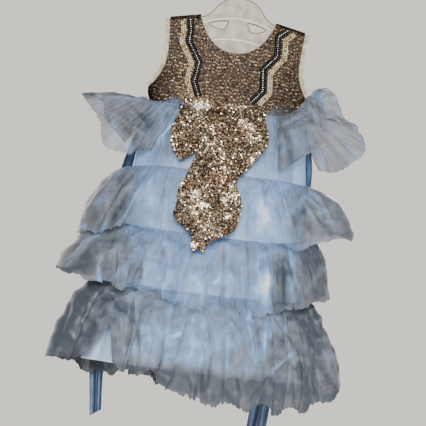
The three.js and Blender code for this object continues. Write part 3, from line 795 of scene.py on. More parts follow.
def make_piece(
    name: str,
    points: Array,
    faces: Array,
    finish: Finish,
    slot: str,
    uv: Array | None = None,
    smooth: bool = True,
    marks: dict[str, Array] | None = None,
) -> bpy.types.Object:
    """A mesh object at the origin that rides on the dress.

    Args:
        name: the piece's name.
        points: places in millimetres, in rows of three.
        faces: corner numbers, one row for each face.
        finish: what its surface is made of.
        slot: the record's material slot that it takes its finish from.
        uv: the flat cloth's place in metres of each face corner, or None.
        smooth: whether light is smoothed over the faces.
        marks: named values for each point, which materials read.

    Returns:
        The new object.
    """
    mesh = bpy.data.meshes.new(name)
    flat = np.ascontiguousarray(points, dtype=np.float32).reshape(-1, 3)
    mesh.vertices.add(len(flat))
    mesh.vertices.foreach_set("co", (flat * MM).ravel())
    mesh.loops.add(faces.size)
    mesh.loops.foreach_set("vertex_index", np.ascontiguousarray(faces, dtype=np.int32).ravel())
    mesh.polygons.add(len(faces))
    mesh.polygons.foreach_set("loop_start", np.arange(len(faces), dtype=np.int32) * faces.shape[1])
    mesh.polygons.foreach_set("use_smooth", np.full(len(faces), smooth))
    if uv is not None:
        layer = mesh.uv_layers.new(name="cloth")
        layer.data.foreach_set("uv", np.ascontiguousarray(uv, dtype=np.float32).ravel())
    for mark, values in (marks or {}).items():
        layer = mesh.attributes.new(mark, "FLOAT", "POINT")
        layer.data.foreach_set("value", np.ascontiguousarray(values, dtype=np.float32).ravel())
    mesh.update(calc_edges=True)
    mesh.validate()
    mesh.materials.append(finish.material())
    piece = bpy.data.objects.new(name, mesh)
    bpy.context.scene.collection.objects.link(piece)
    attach(piece, BODY)
    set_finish(piece, slot)
    return piece


def thicken(piece: bpy.types.Object, thickness: float) -> None:
    """Gives cloth its thickness in millimetres, laid inwards."""
    solid = piece.modifiers.new("cloth", "SOLIDIFY")
    solid.thickness, solid.offset = thickness * MM, -1.0


def make_sheet(
    name: str,
    points: Array,
    away: Array,
    finish: Finish,
    slot: str,
    closed: bool = False,
    thickness: float = 0.0,
    marks: dict[str, Array] | None = None,
) -> bpy.types.Object:
    """Cloth from a grid of places, its faces turned to look the way that is given.

    The cloth's flat measure runs with the mean length of its rows and columns.

    Args:
        name: the piece's name.
        points: rows by columns of places in millimetres.
        away: a direction for each place, or one for all, that the faces look towards.
        finish: what the cloth is.
        slot: the record's material slot.
        closed: whether the last column joins the first.
        thickness: of the finished cloth, laid inwards; 0 leaves it one sheer layer.
        marks: named values for each place.

    Returns:
        The new object.
    """
    rows, columns = points.shape[:2]
    faces = grid_quads(rows, columns, closed)
    corners = grid_quads(rows, columns + 1) if closed else faces
    if np.sum(grid_normals(points, closed) * away) < 0:
        faces, corners = faces[:, ::-1], corners[:, ::-1]
    across = np.linalg.norm(np.diff(points, axis=1), axis=-1).mean()
    down = np.linalg.norm(np.diff(points, axis=0), axis=-1).mean()
    column, row = np.meshgrid(np.arange(columns + closed), np.arange(rows))
    flat = np.stack([column * across, row * down], axis=-1).reshape(-1, 2) * MM
    piece = make_piece(name, points, faces, finish, slot, flat[corners.ravel()], True, marks)
    if thickness:
        thicken(piece, thickness)
    LOG.info("%s: %.0f mm along its hem, %.0f mm down", name, across * (columns - 1), down * (rows - 1))
    return piece


def copies(shape: Array, centres: Array, frames: Array) -> Array:
    """One small shape set down at many places.

    Args:
        shape: the shape's points, one row each.
        centres: where each copy goes.
        frames: three axes for each copy, as rows, already scaled.

    Returns:
        The points of every copy, one after the other.
    """
    return (centres[:, None, :] + np.einsum("pk,nkc->npc", shape, frames)).reshape(-1, 3)


def copied_faces(faces: Array, points: int, count: int) -> Array:
    """The faces of so many copies of a shape with that number of points."""
    shift = np.arange(count)[:, None, None] * points
    return (faces[None] + shift).reshape(-1, faces.shape[1])


def circle(sides: int) -> Array:
    """Angles of a circle's corners, evenly spaced."""
    return np.arange(sides) / sides * 2 * np.pi


def frames_about(normals: Array, spin: Array) -> Array:
    """Axes with the third along each normal, and the first turned round it.

    Args:
        normals: one for each frame.
        spin: how far each is turned, as an angle.

    Returns:
        Three axes for each frame, as rows.
    """
    side = unit(np.cross(np.array([0.0, 0.0, 1.0]), normals))
    up = np.cross(normals, side)
    first = side * np.cos(spin)[:, None] + up * np.sin(spin)[:, None]
    return np.stack([first, np.cross(normals, first), normals], axis=1)


def bead_shape() -> tuple[Array, Array]:
    """A ball of 18 points: an octahedron with each edge's middle pushed out.

    Returns:
        Its points, and its 32 triangles.
    """
    points = [(1, 0, 0), (-1, 0, 0), (0, 1, 0), (0, -1, 0), (0, 0, 1), (0, 0, -1)]
    middles: dict[tuple[int, int], int] = {}
    faces = []

    def middle(a: int, b: int) -> int:
        """The point halfway between two corners, made on first use.

        Args:
            a: one corner's number.
            b: the other corner's number.

        Returns:
            The point's own number.
        """
        key = (min(a, b), max(a, b))
        if key not in middles:
            middles[key] = len(points)
            half = np.array(points[a], dtype=float) + np.array(points[b], dtype=float)
            points.append(tuple(half / np.linalg.norm(half)))
        return middles[key]

    for x in (0, 1):
        for y in (2, 3):
            for z in (4, 5):
                a, b, c = (x, y, z) if (x + y + z) % 2 == 0 else (y, x, z)
                ab, bc, ca = middle(a, b), middle(b, c), middle(c, a)
                faces += [(a, ab, ca), (ab, b, bc), (ca, bc, c), (ab, bc, ca)]
    return np.array(points, dtype=float), np.array(faces)


def round_the_edge(outline: Array, spacing: float) -> Array:
    """A closed smooth curve through the outline's points (Catmull-Rom).

    Args:
        outline: flat points in order.
        spacing: between the curve's own points, mm.

    Returns:
        Evenly spaced flat points.
    """
    before, after = np.roll(outline, 1, axis=0), np.roll(outline, -1, axis=0)
    beyond = np.roll(outline, -2, axis=0)
    t = np.linspace(0, 1, 12, endpoint=False)[None, :, None]
    p0, p1, p2, p3 = (p[:, None, :] for p in (before, outline, after, beyond))
    cubic = -p0 + 3 * p1 - 3 * p2 + p3
    square = 2 * p0 - 5 * p1 + 4 * p2 - p3
    curve = (0.5 * (2 * p1 + (p2 - p0) * t + square * t**2 + cubic * t**3)).reshape(-1, 2)
    loop = np.vstack([curve, curve[:1]])
    whole = lengths_along(loop)[-1]
    return at_lengths(loop, np.linspace(0, whole, int(whole / spacing), endpoint=False))


def inside(points: Array, outline: Array) -> Array:
    """Whether a line from each point crosses the edge an odd number of times.

    Args:
        points: flat places.
        outline: flat points of the edge, in order.

    Returns:
        True for each place in the outline.
    """
    ahead = np.roll(outline, -1, axis=0)
    x, z = points[:, :1], points[:, 1:]
    crosses = (outline[:, 1] > z) != (ahead[:, 1] > z)
    rise = np.where(np.abs(ahead[:, 1] - outline[:, 1]) < 1e-9, 1e-9, ahead[:, 1] - outline[:, 1])
    at = outline[:, 0] + (z - outline[:, 1]) * (ahead[:, 0] - outline[:, 0]) / rise
    return (crosses & (x < at)).sum(axis=1) % 2 == 1


# ---------------------------------------------------------------- studio


@dataclass
class Lamp:
    """A soft box: where it stands, its side in metres and its power in watts."""

    name: str
    place: tuple[float, float, float]
    side: float
    power: float
    colour: str = "#ffffff"


@dataclass
class Studio:
    """Camera, soft lights, pale surround and floor."""

    middle: tuple[float, float] = (-3.3, -448.7)  # where the camera aims, x and z in mm
    frame_width: float = 767.0  # of the picture at the dress, mm
    distance: float = 5.0
    sensor: float = 36.0
    roll: float = 7.0  # the camera is held this many degrees off plumb
    floor_z: float = -1.05
    floor_half: float = 1.45
    lamps: tuple[Lamp, ...] = (
        Lamp("key", (-0.1, -3.3, 0.15), 0.7, 150.0, "#fff8ef"),
        Lamp("fill", (1.9, -2.2, -0.2), 1.8, 34.0, "#f4f7ff"),
        Lamp("back", (0.5, 3.2, 0.3), 1.2, 150.0),
        Lamp("back_fill", (-1.7, 2.0, -0.3), 1.6, 45.0),
    )

    def build(self) -> None:
        """Sets up the camera first, then the lights, the surround and the floor."""
        self.camera()
        for lamp in self.lamps:
            self.light(lamp)
        self.surround()
        self.floor()

    def camera(self) -> None:
        """A level camera in front, rolled about its own line of sight."""
        data = bpy.data.cameras.new("camera")
        data.sensor_width = self.sensor
        data.lens = self.sensor * self.distance / (self.frame_width * MM)
        data.clip_end = 40.0
        camera = bpy.data.objects.new("camera", data)
        x, z = self.middle
        level = Matrix.Rotation(np.pi / 2, 4, "X")
        rolled = Matrix.Rotation(-np.radians(self.roll), 4, "Y")
        camera.matrix_world = Matrix.Translation(Vector((x * MM, -self.distance, z * MM))) @ rolled @ level
        bpy.context.scene.collection.objects.link(camera)
        bpy.context.scene.camera = camera

    def light(self, lamp: Lamp) -> None:
        """A square soft box that faces the middle of the dress.

        Args:
            lamp: its place, size, power and colour.
        """
        data = bpy.data.lights.new(lamp.name, "AREA")
        data.size = lamp.side
        data.energy = lamp.power
        data.color = linear(lamp.colour)[:3]
        light = bpy.data.objects.new(lamp.name, data)
        aim = Vector((0, 0, self.middle[1] * MM)) - Vector(lamp.place)
        turn = aim.to_track_quat("-Z", "Y").to_matrix().to_4x4()
        light.matrix_world = Matrix.Translation(Vector(lamp.place)) @ turn
        bpy.context.scene.collection.objects.link(light)

    def surround(self) -> None:
        """A pale surround to look at, and a dimmer one of the same kind that lights the dress."""
        world = bpy.data.worlds.new("surround")
        bpy.context.scene.world = world
        world.use_nodes = True
        world.node_tree.nodes.clear()
        add = partial(add_node, world.node_tree)
        seen = add("Background", {"Color": linear("#e6e2da"), "Strength": 1.3})
        cast = add("Background", {"Color": linear("#dfe3ea"), "Strength": 0.38})
        path = add("LightPath").outputs["Is Camera Ray"]
        add("OutputWorld", {"Surface": add("MixShader", {0: path, 1: cast, 2: seen})})

    def floor(self) -> None:
        """A pale square floor below the hanging ties."""
        half, z = self.floor_half / MM, self.floor_z / MM
        corners = np.array([(-half, -half, z), (half, -half, z), (half, half, z), (-half, half, z)])
        floor = make_piece("floor", corners, np.array([[0, 1, 2, 3]]), StudioPaper(), "satin")
        del floor["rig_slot"]
        del floor["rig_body"]
        floor["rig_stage"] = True


# ---------------------------------------------------------------- bodice


@dataclass
class Sequins:
    """Flat discs sewn in staggered rows, each tilted its own way."""

    across: float = 2.15  # spacing along a row, mm
    down: float = 1.8  # spacing of the rows, mm
    radius: float = 1.35
    tilt: float = 6.0  # degrees, one standard deviation
    forward: float = 0.35  # share of the cloth's slope that the hanging discs keep
    lift: float = 0.55  # off the cloth, mm
    astray: float = 0.3  # how far a disc is off its place at most, mm
    sides: int = 8
    cast: float = 0.25  # strength of the copper and olive patches
    to_light: tuple[float, float, float] = (-0.17, -1.0, 0.22)

    def places(self, points: Array, rng: np.random.Generator) -> tuple[Array, Array]:
        """Even places over a grid, row after row, by the length along each row.

        Args:
            points: rows by columns of places on the cloth.
            rng: the random source for the small misplacement of each disc.

        Returns:
            The row and the column of each place, as parts of the grid's own.
        """
        fall = np.linalg.norm(np.diff(points, axis=0), axis=-1).mean(axis=1)
        height = np.concatenate([[0], np.cumsum(fall)])
        levels = np.arange(self.down / 2, height[-1], self.down)
        rows = np.interp(levels, height, np.arange(len(height)))
        low = np.minimum(rows.astype(int), len(points) - 2)
        part = (rows - low)[:, None, None]
        lines = points[low] * (1 - part) + points[low + 1] * part
        found = []
        for number, (row, line) in enumerate(zip(rows, lines)):
            length = lengths_along(line)
            start = self.across * (0.5 + 0.5 * (number % 2))
            at = np.arange(start, length[-1] - self.radius * 0.4, self.across)
            at = at + rng.uniform(-self.astray, self.astray, len(at))
            columns = np.interp(at, length, np.arange(len(length)))
            found.append(np.stack([np.full(len(at), row), columns], axis=1))
        both = np.concatenate(found)
        return both[:, 0], both[:, 1]

    def sew(
        self,
        name: str,
        centres: Array,
        normals: Array,
        tones: Array,
        shade: Shade,
        rng: np.random.Generator,
        facing: Array | None = None,
    ) -> bpy.types.Object:
        """Joined discs at the places given.

        Args:
            name: the piece's name.
            centres: places on the cloth.
            normals: which way the cloth faces there.
            tones: how light each disc is, 0 to 1.
            shade: the foil's colours.
            rng: the random source for tilt and spin.
            facing: how strongly each disc lies towards the front light, 0 to 1, or None.

        Returns:
            The discs as one object.
        """
        count = len(centres)
        hanging = normals * np.array([0.5, 1, self.forward])
        hanging[:, 1] += 0.8 * np.sign(normals[:, 1]) * np.abs(normals[:, 2])
        hanging = unit(hanging)
        base = frames_about(hanging, rng.uniform(0, 2 * np.pi, count))
        lean = np.tan(np.radians(np.abs(rng.normal(0, self.tilt, count))))[:, None]
        tilted = unit(hanging + base[:, 0] * lean)
        if facing is not None:
            towards = unit(np.array(self.to_light)) + rng.normal(0, 0.05, (count, 3))
            tilted = unit(tilted * (1 - facing[:, None]) + towards * facing[:, None])
        frames = frames_about(tilted, rng.uniform(0, 2 * np.pi, count))
        turn = circle(self.sides)
        disc = np.stack([np.cos(turn), np.sin(turn), np.zeros(self.sides)], axis=1) * self.radius
        lift = self.lift + rng.uniform(0, 0.5, count)
        points = copies(disc, centres + normals * lift[:, None], frames)
        faces = copied_faces(np.arange(self.sides)[None], self.sides, count)
        marks = {"tone": np.repeat(tones, self.sides)}
        finish = SequinFoil(shade, self.cast)
        return make_piece(name, points, faces, finish, "sequinned_net", None, False, marks)


def between_rows(values: Array, rows: Array, columns: Array) -> Array:
    """Values of a grid between its rows and columns, by two straight mixes.

    Args:
        values: rows by columns of vectors.
        rows: of each place, as a part of the grid's own.
        columns: of each place, likewise.

    Returns:
        A vector for each place.
    """
    row = np.minimum(rows.astype(int), values.shape[0] - 2)
    column = np.minimum(columns.astype(int), values.shape[1] - 2)
    down, across = (rows - row)[:, None], (columns - column)[:, None]
    top = values[row, column] * (1 - across) + values[row, column + 1] * across
    foot = values[row + 1, column] * (1 - across) + values[row + 1, column + 1] * across
    return top * (1 - down) + foot * down


class Side(Enum):
    """The garment's sides as seen from the front: left is -X."""

    LEFT = -1
    RIGHT = 1


@dataclass
class Bodice:
    """Front and two back halves of sequinned net, shut flat over the hanger."""

    depth: float = 20.0
    neck_half_width: float = 63.0
    neck_flare: float = 5.0
    neck_flare_depth: float = 25.0
    front_neck_depth: float = 63.0
    back_neck_depth: float = 53.0
    shoulder_round: float = 8.0
    slope_fades: float = 60.0  # below the shoulder the rows of the cloth turn level, mm
    squareness: float = 2.6  # of the rounded box that the bodice is from above
    cloth: float = 1.0
    sequin_room: float = 0.7  # the cloth lies this far under the outer skin of the sequins
    front_cut: tuple[float, float] = (0.30, 0.175)
    front_area: float = 0.0375  # of the cut, without its neck and armholes, square metres
    back_cut: tuple[float, float] = (0.150, 0.175)
    back_area: float = 0.0193
    edge: Table = Table(
        ("level", "x"),
        (
            (-97, 122), (-130, 120), (-160, 118.5), (-185, 119.5), (-207, 126),
            (-226, 137), (-238, 146), (-250, 145), (-262, 140),
        ),
    )
    glints: Glints = Glints(
        ((-46, -255, 17, 8, 0.95), (-30, -259, 14, 4, 0.5), (-92, -196, 6, 9, 0.4), (-80, -243, 14, 9, 0.5))
    )

    def shoulder_z(self, x: Array) -> Array:
        """Height of the shoulder seam, falling outwards at an even slope."""
        return SHOULDER_Z - SHOULDER_SLOPE * (np.abs(x) - STRAP_INNER)

    def tilted_z(self, level: Array, x: Array) -> Array:
        """Height of a row of the cloth: sloped with the shoulder at the top, and level lower down."""
        flat = np.minimum((SHOULDER_Z - level) / self.slope_fades, 1)
        return level + (self.shoulder_z(x) - SHOULDER_Z) * (1 - flat)

    def neck_x(self, level: Array, depth: float) -> Array:
        """Half the neck's width: a half ellipse with a small flare at the top.

        Args:
            level: height of each place.
            depth: of the neckline below the shoulder.

        Returns:
            Half the width at each level, 0 below the neck.
        """
        down = SHOULDER_Z - level
        flare = self.neck_flare * np.maximum(1 - down / self.neck_flare_depth, 0)
        curve = self.neck_half_width * np.sqrt(np.maximum(1 - (down / depth) ** 2, 0))
        return np.where(down < depth, curve + flare, 0.0)

    def half_depth(self, x: Array, z: Array, inset: float) -> Array:
        """Half the depth: a rounded box across, rolled over at the shoulder and thinner near it.

        Args:
            x: of each place.
            z: of each place.
            inset: how far under the outer skin.

        Returns:
            Half the depth at each place.
        """
        level = np.maximum(z, WAIST_Z)
        above = 146 + 0.2 * (level - UNDERARM_Z)
        side = np.where(level > UNDERARM_Z, above, self.edge.read("level", "x", level))
        across = np.minimum(np.abs(x) / (side - inset), 1)
        below = np.maximum(self.shoulder_z(x) - inset - z, 0)
        over = 1 - np.minimum(below / self.shoulder_round, 1)
        thin = 1 - 0.4 * smoothstep(z, -175, -105)
        rounded = (1 - across**self.squareness) ** (1 / self.squareness)
        return (self.depth * thin - inset) * rounded * np.sqrt(1 - over**2)

    def panel(self, side: Side, facing: int, neck_depth: float, middle: float, inset: float) -> Array:
        """One side of a panel: columns run from the neck or the middle to the outer edge.

        Args:
            side: which half.
            facing: -1 in front and 1 behind.
            neck_depth: depth of the neckline.
            middle: where the columns start below the neck.
            inset: how far under the outer skin it lies.

        Returns:
            Rows by columns of places, from the shoulder to the waist.
        """
        foot = SHOULDER_Z - neck_depth
        top = SHOULDER_Z - np.array([0, 0.5, 1.4, 2.8, 5, 7.5])
        neck = np.linspace(SHOULDER_Z - 10, foot + 4, 26)
        scoop = foot + np.array([2.4, 1.2, 0.4, 0])
        chest = np.linspace(foot - 2, WAIST_Z, 44)
        level = np.concatenate([top, neck, scoop, chest])[:, None]
        share = (0.5 - 0.5 * np.cos(np.linspace(0, 1, 48) * np.pi))[None]
        start = np.maximum(self.neck_x(level, neck_depth), middle)
        x = start + (self.edge.read("level", "x", level) - start) * share
        z = self.tilted_z(level, x)
        under = np.maximum(1 - (self.shoulder_z(x) - z) / self.shoulder_round, 0)
        at_side = np.where(level <= UNDERARM_Z, share, 0.0)
        placed, height = x - inset * at_side**6, z - inset * under
        y = facing * (self.half_depth(placed, height, inset) + SEAM_GAP / 2)
        return np.stack([side.value * placed, y, height], axis=-1)

    def front_y(self, x: Array, z: Array) -> Array:
        """How far forward the front's outer skin lies at a place on it, as a y value."""
        return -(self.half_depth(x, z, 0.0) + SEAM_GAP / 2)

    def build(self) -> None:
        """The cloth of all three panels, and then their sequins."""
        halves = {side: self.panel(side, -1, self.front_neck_depth, 0.0, self.sequin_room) for side in Side}
        piece = self.front(halves)
        discs = self.cover("bodice_front_sequins", list(halves.values()), -1, 11)
        for side in Side:
            half = self.panel(side, 1, self.back_neck_depth, SEAM_GAP / 2, self.sequin_room)
            node = "bodice_back_" + side.name.lower()
            piece = make_sheet(node + "_cloth", half, -FRONT, SewnNet(), "sequinned_net", False, self.cloth)
            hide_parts(node)
            discs = self.cover(node + "_sequins", [half], 1, 12 + side.value)

    def front(self, halves: dict[Side, Array]) -> bpy.types.Object:
        """The front in one: the two halves share the points of the middle line below the neck.

        Args:
            halves: each side's grid.

        Returns:
            The cloth.
        """
        points = np.concatenate([half.reshape(-1, 3) for half in halves.values()])
        rows, columns = halves[Side.LEFT].shape[:2]
        quads = grid_quads(rows, columns)
        faces = np.concatenate([quads, quads[:, ::-1] + rows * columns])
        _, first, welded = np.unique(np.round(points, 3), axis=0, return_index=True, return_inverse=True)
        faces = welded.reshape(-1)[faces]
        piece = make_piece("bodice_front_cloth", points[first], faces, SewnNet(), "sequinned_net")
        thicken(piece, self.cloth)
        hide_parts("bodice_front")
        return piece

    def cover(self, name: str, grids: list[Array], facing: int, seed: int) -> bpy.types.Object:
        """Sequins over a panel, with their tones and the places that catch the light.

        Args:
            name: the piece's name.
            grids: the panel's places.
            facing: -1 in front and 1 behind.
            seed: picks the small differences between the discs.

        Returns:
            The discs.
        """
        rng = np.random.default_rng(seed)
        sewing = Sequins()
        centres, normals = [], []
        for grid in grids:
            rows, columns = sewing.places(grid, rng)
            out = grid_normals(grid, False)
            out = out * np.sign((out[..., 1:2] * facing).mean())
            centres.append(between_rows(grid, rows, columns))
            normals.append(unit(between_rows(out, rows, columns)))
        place, out = np.concatenate(centres), np.concatenate(normals)
        # Painted highlight: the discs along short wavy threads a few millimetres apart are made paler, where
        # their edges catch the light.
        x, z = place[:, 0], place[:, 2]
        wander = 1.5 * np.sin(x / 5.1) + np.sin(x / 2.3) + 0.8 * np.sin(x / 17)
        thread = np.sin(z * 2 * np.pi / 6.1 + wander)
        broken = rng.random(len(place)) > 0.35
        own = rng.normal(0.37, 0.09, len(place))
        tones = np.clip(own + 0.36 * smoothstep(thread, 0.6, 0.98) * broken, 0, 1)
        light = None
        if facing < 0:
            light = self.glints.light(x, z)
            # Painted highlight: at the glints the discs are made paler, as well as turned to the light.
            tones = np.clip(tones + 0.5 * light, 0, 1)
        return sewing.sew(name, place, out, tones, Shade.ROSE_GOLD, rng, light)


@dataclass
class BeadBand:
    """Rows of beads sewn along a zigzag line down the front."""

    name: str
    line: Rows
    seed: int
    # Each row of beads: offset from the middle line, radius, length of a bead, shade.
    rows: tuple[tuple[float, float, float, Shade], ...]
    width: float
    slot: str
    tape: Shade
    stand: float = 1.7  # the beads' middles lie this far off the panel's skin
    least_cut: float = 10.0  # the tape's width before its edges are sewn down
    cut_length: float = 0.152  # metres

    def stations(self, spacing: float, offset: float) -> tuple[Array, Array]:
        """Places at even spacing along the line moved sideways, its corners mitred.

        Args:
            spacing: between places, mm.
            offset: how far to the right of the line's travel the row lies.

        Returns:
            The places (x, z) and the line's direction at each.
        """
        points = np.array(self.line, dtype=float)
        legs = unit(np.diff(points, axis=0))
        before, after = np.vstack([legs[:1], legs]), np.vstack([legs, legs[-1:]])
        along = unit(before + after)
        mitre = np.stack([-along[:, 1], along[:, 0]], axis=1) / np.sum(along * after, axis=1, keepdims=True)
        moved = points + mitre * offset
        length = lengths_along(moved)
        at = np.arange(spacing / 2, length[-1], spacing)
        leg = np.minimum(np.searchsorted(length, at, side="right") - 1, len(legs) - 1)
        return at_lengths(moved, at), legs[leg]

    def build(self, bodice: Bodice) -> None:
        """The tape that carries the beads, and then a joined mesh for each shade of bead.

        Args:
            bodice: what they are sewn to.
        """
        self.lay_tape(bodice)
        ball, faces = bead_shape()
        for shade in {row[3]: None for row in self.rows}:
            rng = np.random.default_rng(self.seed)
            points = []
            for offset, radius, long, _ in (row for row in self.rows if row[3] is shade):
                place, travel = self.stations(long * 1.12, offset)
                skin = bodice.front_y(place[:, 0], place[:, 1])
                y = skin - self.stand - rng.uniform(-0.25, 0.25, len(place))
                centres = np.stack([place[:, 0], y, place[:, 1]], axis=1)
                first = np.stack([travel[:, 0], np.zeros(len(travel)), travel[:, 1]], axis=1)
                first = unit(first + rng.normal(0, 0.12, first.shape))
                second = unit(np.cross(np.tile(FRONT, (len(travel), 1)), first))
                third = np.cross(first, second)
                frames = np.stack([first * long / 2, second * radius, third * radius], axis=1)
                points.append(copies(ball, centres, frames))
            joined = np.concatenate(points)
            count = len(joined) // len(ball)
            tones = np.repeat(np.clip(rng.normal(0.55, 0.36, count), 0, 1), len(ball))
            finish = GlassBead(shade, 0.75 if shade is Shade.SILVER else 0.15)
            name = f"{self.name}_{shade.name.lower()}_beads"
            all_faces = copied_faces(faces, len(ball), count)
            make_piece(name, joined, all_faces, finish, self.slot, None, True, {"tone": tones})

    def lay_tape(self, bodice: Bodice) -> None:
        """A narrow tape under the beads, which takes the place of the plain strip.

        Args:
            bodice: what it is sewn to.
        """
        edges = [self.stations(2.0, offset)[0] for offset in np.linspace(-self.width / 2, self.width / 2, 5)]
        count = min(len(edge) for edge in edges)
        flat = np.stack([edge[:count] for edge in edges], axis=1)
        y = bodice.front_y(flat[..., 0], flat[..., 1]) - 0.75
        points = np.stack([flat[..., 0], y, flat[..., 1]], axis=-1)
        piece = make_sheet(self.name + "_tape", points, FRONT, BandTape(self.tape), self.slot, False, 0.5)
        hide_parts(self.name)


BLACK_ROWS = ((-3.6, 1.6, 3.3, Shade.BLACK), (0.0, 1.35, 3.6, Shade.SILVER), (3.6, 1.6, 3.3, Shade.BLACK))
CREAM_ROWS = ((-3.3, 1.35, 2.9, Shade.CREAM), (0.0, 1.5, 3.3, Shade.CREAM), (3.3, 1.35, 2.9, Shade.CREAM))
CREAM = {"rows": CREAM_ROWS, "width": 9.5, "slot": "cream_beads", "tape": Shade.CREAM}
BLACK = {"rows": BLACK_ROWS, "width": 12.0, "slot": "black_beads", "tape": Shade.BLACK}
# From the shoulder seam to the waist.
BANDS = (
    BeadBand(
        "band_cream_left",
        ((-99, -109.5), (-95, -130), (-96, -151), (-74.5, -185.5), (-78.5, -217.5), (-66.5, -247)),
        21,
        **CREAM,
    ),
    BeadBand(
        "band_black_left",
        ((-86, -107), (-82, -128.5), (-83, -148), (-60.5, -183), (-65.5, -218.5), (-53, -247)),
        22,
        **BLACK,
    ),
    BeadBand(
        "band_black_right",
        ((91, -107), (75, -120), (77, -156), (54.5, -183), (58.5, -221), (39.5, -245)),
        23,
        **BLACK,
    ),
    BeadBand(
        "band_cream_right",
        ((104, -112.5), (89, -125.5), (90.5, -158.5), (68.5, -187), (71.5, -224.5), (54.5, -246)),
        24,
        **CREAM,
    ),
)


@dataclass
class NeckEdge:
    """The front neckline's edge, rolled and sewn over with pale thread."""

    thick: float = 0.75  # radius of the roll, mm
    sides: int = 8
    stations: int = 180
    thread_mm: float = 2.4  # between two turns of the thread
    off: float = 0.9  # how far its middle stands off the cloth, mm

    def build(self, bodice: Bodice) -> None:
        """A thin round roll from one shoulder down round the neck and up to the other.

        Args:
            bodice: whose neckline it follows.
        """
        lowest = SHOULDER_Z - bodice.front_neck_depth + 0.2
        halves = [bodice.panel(side, -1, bodice.front_neck_depth, 0.0, 0.0)[:, 0] for side in Side]
        down, up = (half[half[:, 2] > lowest][3:] for half in halves)
        path = np.concatenate([down, up[::-1]])
        at = np.linspace(0, lengths_along(path)[-1], self.stations)
        line = at_lengths(path, at)
        line[:, 1] -= self.off
        travel = unit(np.gradient(line, axis=0))
        side = unit(np.cross(travel, FRONT))
        front = np.cross(side, travel)
        turn = circle(self.sides)
        twist = self.thick * (1 + 0.18 * np.sin(at[:, None] * 2 * np.pi / self.thread_mm + turn))
        ring = side[:, None] * np.cos(turn)[None, :, None] + front[:, None] * np.sin(turn)[None, :, None]
        points = line[:, None] + ring * twist[..., None]
        make_sheet("neck_edge_thread", points, ring, BandTape(Shade.SILVER), "cream_beads", True)


@dataclass
class ArmholeFrill:
    """A torn strip of net that stands off the armhole's edge."""

    side: Side
    top: float = -100.0
    foot: float = -236.5
    width: float = 7.4
    waves: int = 15
    wave: float = 1.7
    cut: tuple[float, float] = (0.27, 0.010)

    def build(self, bodice: Bodice) -> None:
        """Runs down the front edge of the armhole and up the back one, waved and torn.

        Args:
            bodice: whose armhole it follows.
        """
        columns, rows = 420, 7
        share = np.linspace(0, 1, columns)
        level = self.top + (self.foot - self.top) * (1 - np.abs(1 - 2 * share))
        x = bodice.edge.read("level", "x", level)
        z = bodice.tilted_z(level, x)
        depth = np.maximum(bodice.half_depth(x, z, 0.0) - 0.9, 2.2)
        corner = np.cos(share * 2 * np.pi)  # 1 at the shoulder, -1 under the arm
        facing = -np.tanh(6 * (0.5 - share) * 2) * np.where(np.abs(corner) > 0.995, 0.6, 1.0)
        edge = np.stack([self.side.value * x, facing * depth, z], axis=1)
        low = smoothstep(-z, 200, 232)
        outward = unit(np.stack([self.side.value * (1 - 0.35 * low), np.zeros(columns), 0.65 * low], axis=1))
        torn = 1 + 0.16 * uneven(share * 320, 640, 9, 31) + 0.2 * uneven(share * 320, 640, 2.2, 32)
        out = np.linspace(0, 1, rows)[:, None]
        reach = 0.7 + self.width * out * torn[None]
        wave = self.wave * out * np.sin(share * 2 * np.pi * self.waves + 1.4 * np.sin(share * 19))[None]
        points = edge[None] + outward[None] * reach[..., None]
        points[..., 1] += np.sign(facing)[None] * wave
        node = "frill_" + self.side.name.lower()
        away = FRONT * np.where(share < 0.5, 1, -1)[None, :, None]
        piece = make_sheet(node + "_net", points, away, FrillNet(), "net")
        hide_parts(node)


@dataclass
class BackButton:
    """A turned button that shuts the slit at the back of the neck."""

    x: float = 7.5
    z: float = -159.0
    radius: float = 5.5
    thick: float = 2.6
    sides: int = 40
    # The profile from the middle of the flat back round the rim to the dished face, as shares.
    profile: Rows = (
        (0.0, 0.0), (0.86, 0.0), (0.97, 0.2), (1.0, 0.5), (0.97, 0.82),
        (0.86, 1.0), (0.74, 0.96), (0.6, 0.72), (0.3, 0.66), (0.0, 0.66),
    )

    def build(self, bodice: Bodice) -> None:
        """The profile turned about the button's own axis.

        Args:
            bodice: what it is sewn to.
        """
        profile = np.array(self.profile)
        turn = np.linspace(0, 2 * np.pi, self.sides, endpoint=False)
        base = float(bodice.half_depth(np.array(0.0), np.array(self.z), 0.0)) + SEAM_GAP * 1.7
        out, up = profile[:, :1] * self.radius, profile[:, 1:] * self.thick
        round_x, round_z = self.x + out * np.cos(turn), self.z + out * np.sin(turn)
        points = np.stack([round_x, base + up + 0 * turn, round_z], axis=-1)
        away = points - np.array([self.x, base + self.thick / 2, self.z])
        piece = make_sheet("back_button_turned", points, away, ButtonPlastic(), "button_plastic", True)
        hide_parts("back_button")


# ---------------------------------------------------------------- skirt


class Ring:
    """Places spaced evenly round the skirt, which is an ellipse seen from above."""

    half_width = 230.0
    half_depth = 95.0
    turn = np.linspace(0, 2 * np.pi, 1441)
    steps = np.hypot(np.diff(half_width * np.cos(turn)), np.diff(half_depth * np.sin(turn)))
    lengths = np.concatenate([[0], np.cumsum(steps)])

    @classmethod
    def angle_at(cls, share: Array) -> Array:
        """The angle in degrees at a share of the ring's length."""
        turns = np.floor(share)
        return 360 * turns + np.degrees(np.interp((share - turns) * cls.lengths[-1], cls.lengths, cls.turn))

    @classmethod
    def share_at(cls, angle: Array) -> Array:
        """How far round the ring an angle in degrees is, as a share of its length."""
        turns = np.floor(angle / 360)
        return turns + np.interp(np.radians(angle - 360 * turns), cls.turn, cls.lengths) / cls.lengths[-1]


